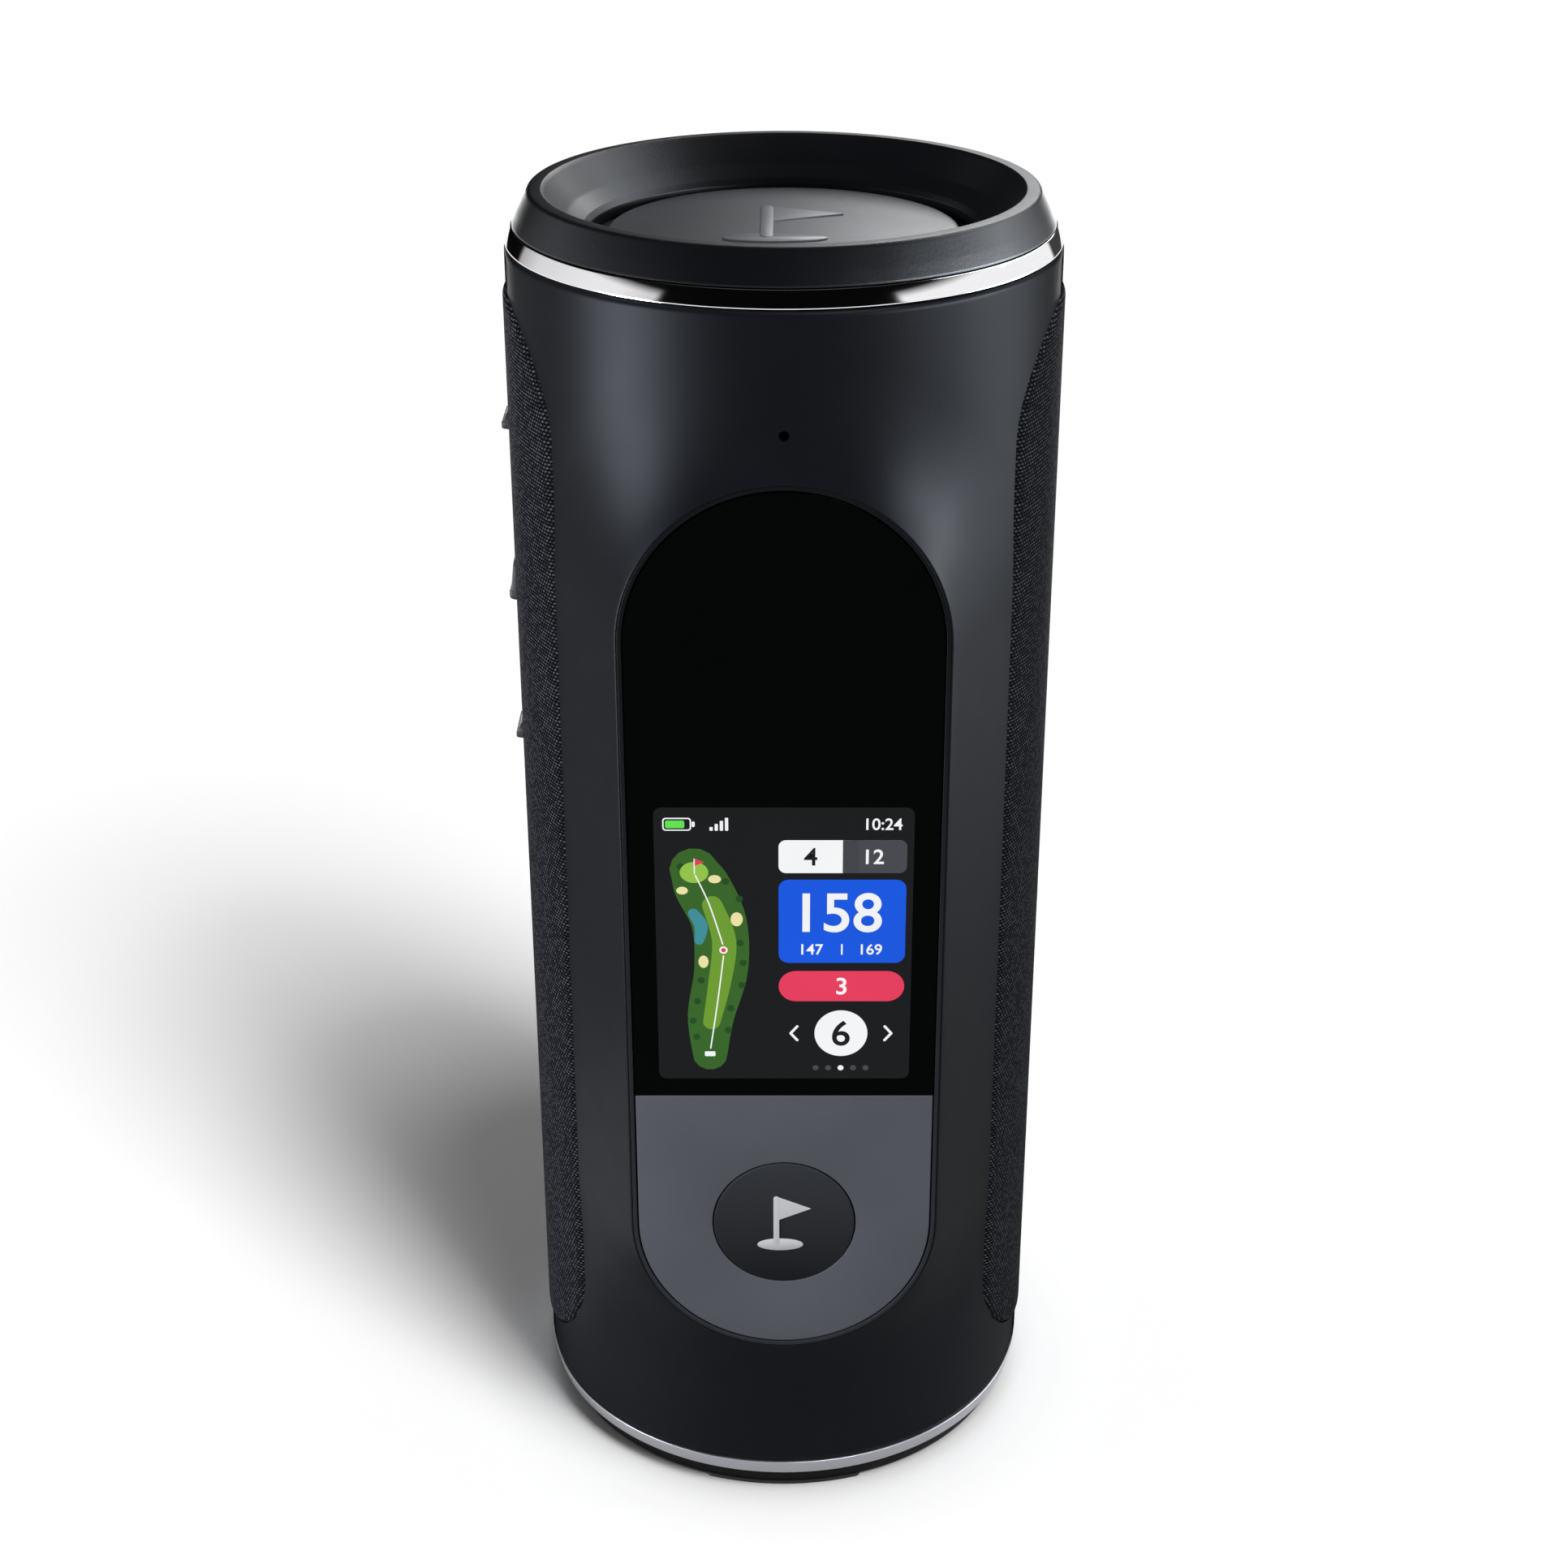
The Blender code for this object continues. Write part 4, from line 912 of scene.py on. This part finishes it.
class Page:
    """Shapes of the lit page, gathered by colour; places are in millimetres from the page's lower middle."""

    MARGIN, SUNK, LAYER = 1.0 * MM, 0.02 * MM, 0.012 * MM

    def __init__(self):
        self.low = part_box("display_module")[0].z + self.MARGIN
        self.back = GLASS_Y + self.SUNK
        self.shapes = {}

    def depth(self, layer):
        """Each layer stands a little in front of the one below."""
        return GLASS_Y - self.LAYER * layer

    def draw(self, color, layer, *outlines):
        shape = self.shapes.setdefault(color, bmesh.new())
        for outline in outlines:
            def scaled(grow, outline=outline):
                return [(u * MM, self.low + v * MM) for u, v in outline(grow / MM)]
            slab(shape, scaled, self.depth(layer), self.back)

    def write(self, color, layer, text, u, v, height):
        """Plain figures, as tall as height, round a middle point."""
        curve = bpy.data.curves.new("figures", "FONT")
        curve.body = text
        curve.extrude = 0.01
        curve.offset = 0.012
        obj = linked("figures", curve)
        mesh = final_mesh(obj)
        bpy.data.objects.remove(obj)
        xs, ys = [vertex.co.x for vertex in mesh.vertices], [vertex.co.y for vertex in mesh.vertices]
        size = height * MM / (max(ys) - min(ys))
        middle = Vector(((min(xs) + max(xs)) / 2, (min(ys) + max(ys)) / 2, 0.0))
        shape = self.shapes.setdefault(color, bmesh.new())
        for vertex in mesh.vertices:
            x, y, z = vertex.co - middle
            depth = self.depth(layer) if z > 0 else self.back
            vertex.co = (u * MM + x * size, depth, self.low + v * MM + y * size)
        mesh.validate()
        shape.from_mesh(mesh)
        bpy.data.meshes.remove(mesh)

    def finish(self):
        """Makes one lit piece of each colour's shapes."""
        colors = {
            "night": (0.0052, 0.0058, 0.0075), "white": (0.92, 0.93, 0.95), "grey": (0.060, 0.064, 0.075),
            "blue": (0.004, 0.095, 0.760), "pink": (0.800, 0.045, 0.110), "lime": (0.120, 0.760, 0.080),
            "rough": (0.035, 0.130, 0.018), "fairway": (0.150, 0.330, 0.028), "putting": (0.30, 0.56, 0.07),
            "sand": (0.860, 0.780, 0.380), "water": (0.050, 0.270, 0.330), "trees": (0.016, 0.070, 0.012),
            "ink": (0.006, 0.007, 0.009),
        }
        for color, shape in self.shapes.items():
            dress(to_object(f"page_{color}", shape, lit(f"page_{color}", colors[color])), "body", "screen")


def make_page():
    page = Page()
    page.draw("night", 1, card(0, 23, 19, 23, 1.2))

    page.draw("white", 2, card(-15.6, 43.3, 2.1, 1.05, 0.5), card(-13.2, 43.3, 0.22, 0.45, 0.2))
    page.draw("ink", 3, card(-15.6, 43.3, 1.9, 0.85, 0.35))
    page.draw("lime", 4, card(-15.9, 43.3, 1.4, 0.62, 0.25))
    for i in range(4):
        page.draw("white", 2, card(-10.6 + 0.75 * i, 42.55 + 0.25 * i, 0.24, 0.30 + 0.25 * i, 0.1))
    page.write("white", 2, "10:24", 14.6, 43.3, 1.9)

    hole = [(-11.2, 4.2, 2.6), (-11.0, 11.0, 3.5), (-9.4, 19.0, 4.0), (-9.6, 27.0, 4.1), (-12.0, 33.0, 4.2),
            (-13.2, 35.8, 3.6)]
    page.draw("rough", 2, ribbon(hole))
    page.draw("fairway", 3,
              ribbon([(-10.9, 10.0, 1.3), (-9.6, 17.0, 1.7), (-8.9, 24.0, 1.8), (-10.6, 30.0, 1.5)]))
    page.draw("putting", 4, disc(-13.2, 35.4, 2.1, 40, 0.82))
    page.draw("sand", 4, disc(-10.2, 34.3, 0.95, 24, 0.7), disc(-15.0, 32.4, 0.85, 24, 0.75),
              disc(-7.0, 27.6, 0.9, 24, 1.3), disc(-12.0, 20.4, 0.75, 24, 1.4))
    page.draw("water", 4, ribbon([(-12.6, 24.0, 0.7), (-12.3, 26.5, 1.0), (-13.4, 28.6, 0.8)]))
    for u, v in ((-13.2, 7.4), (-13.7, 10.2), (-13.0, 13.6), (-8.4, 8.6), (-8.0, 12.4), (-6.3, 16.4),
                 (-6.1, 20.2), (-12.4, 17.2), (-6.5, 23.6), (-6.6, 31.0), (-8.6, 33.9), (-15.2, 36.4)):
        page.draw("trees", 3, disc(u, v, 0.55, 16))
    page.draw("white", 4, card(-11.2, 4.4, 0.8, 0.42, 0.15))
    page.draw("white", 5, ribbon([(-11.1, 5.4, 0.10), (-9.9, 14.0, 0.10), (-9.0, 21.4, 0.10)]),
              ribbon([(-9.1, 23.4, 0.10), (-11.0, 30.0, 0.10), (-13.0, 34.9, 0.10)]),
              disc(-9.0, 22.4, 0.62, 24))
    page.draw("pink", 6, disc(-9.0, 22.4, 0.36, 20), polygon((-13.1, 36.5), (-11.7, 37.1), (-13.1, 37.7)))
    page.draw("white", 6, bar(-13.15, 35.2, -13.15, 37.6, 0.09))

    middle, half = 8.6, 9.4
    page.draw("white", 2, card(middle, 38.0, half, 2.7, 1.1))
    page.draw("grey", 3, card(middle + half / 2, 38.0, half / 2, 2.7, 1.1),
              card(middle + 1.2, 38.0, 1.2, 2.7, 0.01))
    page.write("ink", 3, "4", middle - half / 2, 38.0, 2.9)
    page.write("white", 4, "12", middle + half / 2, 38.0, 2.4)
    page.draw("blue", 2, card(middle, 27.2, half, 7.0, 1.5))
    page.write("white", 3, "158", middle, 28.7, 6.6)
    page.write("white", 3, "147", middle - 4.4, 22.5, 1.8)
    page.write("white", 3, "169", middle + 4.4, 22.5, 1.8)
    page.draw("white", 3, bar(middle, 21.7, middle, 23.3, 0.12))
    page.draw("pink", 2, card(middle, 16.2, half, 2.6, 2.59))
    page.write("white", 3, "3", middle, 16.2, 2.9)
    page.draw("white", 2, disc(middle, 8.0, 4.0, 56))
    page.write("ink", 3, "6", middle, 8.0, 4.4)
    for way in (-1, 1):
        tip = middle + way * 7.6
        for end in (9.2, 6.8):
            page.draw("white", 2, bar(tip, 8.0, tip - way * 1.0, end, 0.2))
    for i in range(5):
        page.draw("white" if i == 2 else "grey", 2, disc(middle + 1.9 * (i - 2), 1.9, 0.45, 20))
    page.finish()


# Side panels and keys

def make_sides():
    """The cloth on both sides, with the keys in the left one."""
    edge = 1.1 * MM
    for side, label in ((1, "right"), (-1, "left")):
        def place(u, v, height, side=side):
            return (side * sqrt(height ** 2 - u ** 2), u, v)
        cloth = patch(f"{label}_cloth", CLOTH, PANEL_HALF - PANEL_INSET, PANEL_LOW + PANEL_INSET,
                      PANEL_HIGH - PANEL_INSET, PANEL_CORNER - PANEL_INSET, place,
                      lambda u, v: CLOTH_OUTER, CLOTH_INNER, edge)
        if side < 0:
            make_keys(cloth)
        dress(cloth, "body", "cloth", f"{label}_fabric")


def make_keys(cloth):
    """Keys whose face slopes out to a block at the lower edge, and the holes that they stand in."""
    corner, inset_corner, edge, tall_from = 1.5 * MM, 1.47 * MM, 0.35 * MM, 5 * MM
    step, step_height, slope_drop = 0.25 * MM, 0.05 * MM, 0.55 * MM
    toe, toe_drop, tall_slope, low_slope, tall_rows, low_rows = 0.14, 0.45 * MM, 0.30, 0.52, 48, 4
    holes = []
    for name, label in (("volume_up_key", "up_key"), ("play_key", "middle_key"),
                        ("volume_down_key", "down_key")):
        low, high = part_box(name)
        height, middle = high.z - low.z, middle_z(name)
        tall = height > tall_from
        slope_end = tall_slope if tall else low_slope
        shoulder = slope_end - step_height / height

        def out(u, v, low=low, height=height, slope_end=slope_end, shoulder=shoulder):
            share, tip = (v - low.z) / height, -low.x
            if share > slope_end:
                return tip - step - slope_drop * (share - slope_end) / (1 - slope_end)
            if share > shoulder:
                return tip - step * (share - shoulder) / (slope_end - shoulder)
            return tip - toe_drop * max(0.0, toe - share) / toe

        def place(u, v, height):
            return (-height, u, v)
        key = patch(label, KEYS, high.y, low.z, high.z, inset_corner, place, out, -high.x, edge,
                    rows=tall_rows if tall else low_rows)
        dress(key, name, "keys", name)
        mark_key(name, label, out, middle + slope_end * height / 2)
        slot = card(0, middle, high.y + GAP, height / 2 + GAP, corner + GAP)(0)
        holes.append(prism_cutter(f"{label}_hole", slot, -2 * BODY_RADIUS, -0.5 * BODY_RADIUS, "X"))
    cut(cloth, holes, PAD_SHARP)


def mark_key(name, label, out, z):
    """A plus, a minus, or a triangle with two bars, on the sloping part of a key."""
    size, thin, thick = 0.55 * MM if name != "play_key" else 1.1 * MM, 0.14 * MM, 0.16 * MM
    across = bar(-size, 0, size, 0, thin)
    pause = [bar(x * size, -0.8 * size, x * size, 0.8 * size, thick) for x in (0.75, 1.45)]
    outlines = {
        "volume_up_key": [across, bar(0, -size, 0, size, thin)],
        "volume_down_key": [across],
        "play_key": [polygon((-1.6 * size, -size), (0.1 * size, 0), (-1.6 * size, size)), *pause],
    }[name]
    slope = (out(0, z + size) - out(0, z - size)) / (2 * size)
    facing = Matrix.Rotation(radians(-90), 4, "Z") @ Matrix.Rotation(atan(slope), 4, "X")
    make_mark(f"{label}_mark", MARK, outlines, front=-0.05 * MM, step=-0.006 * MM, back=0.1 * MM, edge=0.0,
              matrix=Matrix.Translation((-out(0, z), 0, z)) @ facing, body=name, slot="keys")


def make_cover():
    """Rubber flap with a finger notch in its upper edge."""
    notch_half, notch_height, notch_depth, notch_power = 4.2 * MM, 2.0 * MM, 0.7 * MM, 0.7
    corner, thick, edge = 3.0 * MM, 1.6 * MM, 0.4 * MM
    low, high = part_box("port_cover")

    def place(u, v, height):
        return (u, sqrt(height ** 2 - u ** 2), v)

    def out(u, v):
        notch = (u / notch_half) ** 2 + ((v - high.z) / notch_height) ** 2
        return BODY_RADIUS - notch_depth * max(0.0, 1 - notch) ** notch_power
    cover = patch("port_flap", BASE, high.x, low.z, high.z, corner, place, out, BODY_RADIUS - thick,
                  edge, rows=24, columns=40)
    dress(cover, "port_cover", "bumper", "port_cover")


def make_port():
    """The charging port's dark inside, with a tongue that carries a row of contacts on both faces."""
    pitch, contacts, tongue_sunk, contacts_sunk = 0.58 * MM, 10, 0.7 * MM, 1.1 * MM
    core_front, core_back, contacts_start = 0.3 * MM, 0.05 * MM, 0.1 * MM
    low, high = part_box("usb_port")
    middle, deep = middle_z("usb_port"), (low.y + high.y) / 2
    core = card(0, middle, 4.1 * MM, 1.2 * MM, 1.15 * MM)
    tongue = card(0, middle, 3.3 * MM, 0.35 * MM, 0.25 * MM)
    shape = bmesh.new()
    slab(shape, core, deep + core_front, deep - core_back)
    slab(shape, tongue, high.y - tongue_sunk, deep)
    dress(to_object("port_core", shape, BASE), "body", "inner_plastic")
    shape = bmesh.new()
    for index in range(contacts):
        x = pitch * (index - (contacts - 1) / 2)
        contact = card(x, middle, 0.15 * MM, 0.38 * MM, 0.03 * MM)
        slab(shape, contact, high.y - contacts_sunk, deep + contacts_start)
    dress(to_object("port_contacts", shape, CONTACT), "body", "steel")


# Carried-over CAD nodes

def finish_nodes():
    """Finishes for the CAD nodes that stay, by a word in their names."""
    steel = polished("steel_finish", (0.55, 0.55, 0.56), 0.25, 0.35)
    # The port's metal is darker than the other steel: painted shade for its deep recess.
    port = polished("port_finish", (0.30, 0.30, 0.31), 0.30, 0.40)
    inner = moulded("inner_finish", (0.030, 0.030, 0.032), 0.60)
    paper = moulded("cone_finish", (0.030, 0.030, 0.030), 0.80, 0.8 * MM, 0.05 * MM)
    board = moulded("board_finish", (0.010, 0.090, 0.040), 0.40, 1.5 * MM, 0.03 * MM)
    cell = moulded("cell_finish", (0.030, 0.160, 0.300), 0.35)
    ceramic = moulded("ceramic_finish", (0.70, 0.66, 0.56), 0.50)
    screen = moulded("screen_finish", (0.010, 0.010, 0.012), 0.30)
    by_word = (("screw", steel), ("magnet", steel), ("usb", port), ("switch_board", board), ("switch", steel),
               ("microphone", steel), ("board", board), ("cell", cell), ("antenna", ceramic),
               ("module", screen), ("cone", paper), ("surround", RUBBER))
    for name, obj in frame["nodes"].items():
        material = next((m for word, m in by_word if word in name), inner)
        for slot in obj.material_slots:
            slot.material = material


# Stage: camera, floor and light

COOL, WHITE = (0.83, 0.91, 1.0), (1.0, 1.0, 1.0)


def make_camera():
    camera = bpy.data.cameras.new("camera")
    camera.sensor_width = 36.0
    camera.lens = 60.37
    camera.clip_start, camera.clip_end = 0.01, 50.0
    obj = linked("camera", camera)
    obj.location = (0, -0.3828, 0.2946)
    obj.rotation_euler = (radians(64.338), 0, 0)
    bpy.context.scene.camera = obj


def make_floor():
    """White where it is seen or mirrored, darker for the light it throws back, and with a painted contact
    shadow round the base.
    """
    white, pale, sunk = 1.0, 0.25, 0.02 * MM
    painted_contact_shadow = (0.039, 0.68), (0.043, 0.80), (0.048, 0.94), (0.055, 1.0)
    material = bpy.data.materials.new("floor")
    material.use_nodes = True
    tree = material.node_tree
    tree.nodes.remove(tree.nodes["Principled BSDF"])
    rays = add(material, "ShaderNodeLightPath").outputs
    seen = calc(material, "MAXIMUM", rays["Is Camera Ray"], rays["Is Glossy Ray"])
    seen = calc(material, "MAXIMUM", seen, rays["Is Transmission Ray"])
    tone = tint(material, seen, *greys((0.0, pale), (1.0, white)))
    # Painted contact shadow: the floor's colour darkens close to the body's axis.
    far = add(material, "ShaderNodeVectorMath", Vector=place_of(material))
    far.operation = "LENGTH"
    contact = tint(material, far.outputs["Value"], *greys(*painted_contact_shadow))
    diffuse = add(material, "ShaderNodeBsdfDiffuse", Color=calc(material, "MULTIPLY", tone, contact))
    tree.links.new(diffuse.outputs[0], tree.nodes["Material Output"].inputs["Surface"])
    shape = bmesh.new()
    bmesh.ops.create_circle(shape, cap_ends=True, segments=96, radius=1.7)
    bmesh.ops.translate(shape, verts=shape.verts, vec=(0, 0, -sunk))
    floor = to_object("floor", shape, material)
    return floor


def hang(lamp, place, target, kept_off):
    """Puts a lamp in the scene, turned to the target, with the collection that says what it doesn't light."""
    obj = linked(lamp.name, lamp)
    obj.location = place
    obj.rotation_euler = (Vector(target) - place).to_track_quat("-Z", "Y").to_euler()
    obj.light_linking.receiver_collection = kept_off
    return obj


def off(name, *objs):
    """A collection that keeps a lamp off the given objects."""
    collection = bpy.data.collections.new(name)
    for obj in objs:
        collection.objects.link(obj)
    for link in collection.collection_objects:
        link.light_linking.link_state = "EXCLUDE"
    return collection


def make_light(floor):
    """Key suns from the right front, boxes that show only in the gloss, and fills that don't show in it."""
    pieces = bpy.data.objects
    chrome, bumper, satin = pieces["chrome_band"], pieces["top_bumper_ring"], pieces["satin_band"]
    off_polish = off("off_polish", chrome, bumper)
    turn, key_strength, key_angle = radians(38.5), 0.84, radians(16)
    for index, (height, share) in enumerate(((44, 0.30), (56, 0.36), (68, 0.34))):
        key = bpy.data.lights.new(f"key_{index + 1}", "SUN")
        lift = radians(height)
        key.energy = key_strength * share * pi / sin(lift)
        key.angle = key_angle
        hang(key, around(cos(lift), turn, sin(lift)), (0, 0, 0), off_polish)

    aim, unlit = (0, 0, 0.10), (floor, frame["nodes"]["usb_port"])
    window = [obj for obj in pieces if obj.name.startswith(("glass_pane", "page_"))]
    off_floor = off("off_floor", *unlit)
    off_chrome = off("off_chrome", *unlit, chrome, *window)
    off_satin = off("off_satin", *unlit, satin)
    off_bumper = off("off_bumper", *unlit, bumper, *window)
    for name, azimuth, reach, middle, width, height, strength, color, kept_off in (
        ("left_fill", -62, 1.00, 0.36, 0.50, 0.50, 15.0, WHITE, off_floor),
        ("back_fill", 175, 1.00, 0.36, 0.50, 0.50, 15.0, WHITE, off_floor),
        ("left_box", -62.5, 0.30, 0.095, 0.115, 0.20, 42.5, WHITE, off_bumper),
        ("low_left", -94, 0.075, 0.012, 0.05, 0.05, 1.3, COOL, off_satin),
        ("right_box", 96, 0.30, 0.10, 0.18, 0.20, 8.4, COOL, off_floor),
        ("right_wall", 71, 0.50, 0.23, 0.48, 0.14, 47.0, WHITE, off_chrome),
        ("back_box", 118, 0.80, 0.80, 0.60, 0.70, 3.0, WHITE, off_floor),
        ("disc_box", 164, 0.80, 0.60, 0.40, 0.34, 6.5, WHITE, off_floor),
        ("back_left", -160, 0.30, 0.09, 0.11, 0.18, 12.0, WHITE, off_chrome),
        ("back_right", 160, 0.30, 0.09, 0.11, 0.18, 12.0, WHITE, off_chrome),
    ):
        lamp = bpy.data.lights.new(name, "AREA")
        lamp.shape = "RECTANGLE"
        lamp.color = color
        lamp.size, lamp.size_y = width, height
        lamp.energy = strength * pi * width * height
        obj = hang(lamp, around(reach, radians(azimuth), middle), aim, kept_off)
        obj.visible_camera = False
        obj.visible_diffuse = name.endswith("fill")
        obj.visible_glossy = not name.endswith("fill")


def make_world():
    """White for the camera, an even grey for diffuse light, and studio walls and a ceiling for the gloss."""
    diffuse_level = 0.18
    walls = ((0.126, 0.0), (0.133, 0.45), (0.172, 0.76), (0.26, 0.92), (0.30, 0.92), (0.349, 0.68),
             (0.356, 0.0), (0.632, 0.0), (0.638, 1.0), (0.883, 1.0), (0.890, 0.05))
    world = bpy.data.worlds.new("studio")
    bpy.context.scene.world = world
    world.use_nodes = True
    axes = axes_of(world, add(world, "ShaderNodeTexCoord").outputs["Generated"])
    azimuth = calc(world, "ARCTAN2", axes[0], calc(world, "MULTIPLY", axes[1], -1.0))
    turn = calc(world, "ADD", calc(world, "DIVIDE", azimuth, 2 * pi), 0.5)
    sides = tint(world, turn, *greys(*walls))
    band = tint(world, axes[2], *greys((0.0, 1.0), (0.40, 1.0), (0.50, 0.0)))
    above = tint(world, axes[2], *greys((0.85, 0.002), (0.97, 0.09)))
    studio = calc(world, "ADD", calc(world, "MULTIPLY", sides, band), above)
    rays = add(world, "ShaderNodeLightPath").outputs
    seen = add(world, "ShaderNodeMix", Factor=rays["Is Diffuse Ray"], A=studio, B=diffuse_level).outputs[0]
    light = calc(world, "MAXIMUM", seen, rays["Is Camera Ray"])
    fill(world.node_tree, world.node_tree.nodes["Background"], {"Color": light, "Strength": 1.0})


make_camera()
make_housing()
make_rings()
make_radiators()
make_face()
make_flags()
make_page()
make_sides()
make_cover()
make_port()
finish_nodes()
make_light(make_floor())
make_world()
bpy.context.scene.view_settings.view_transform = "Standard"
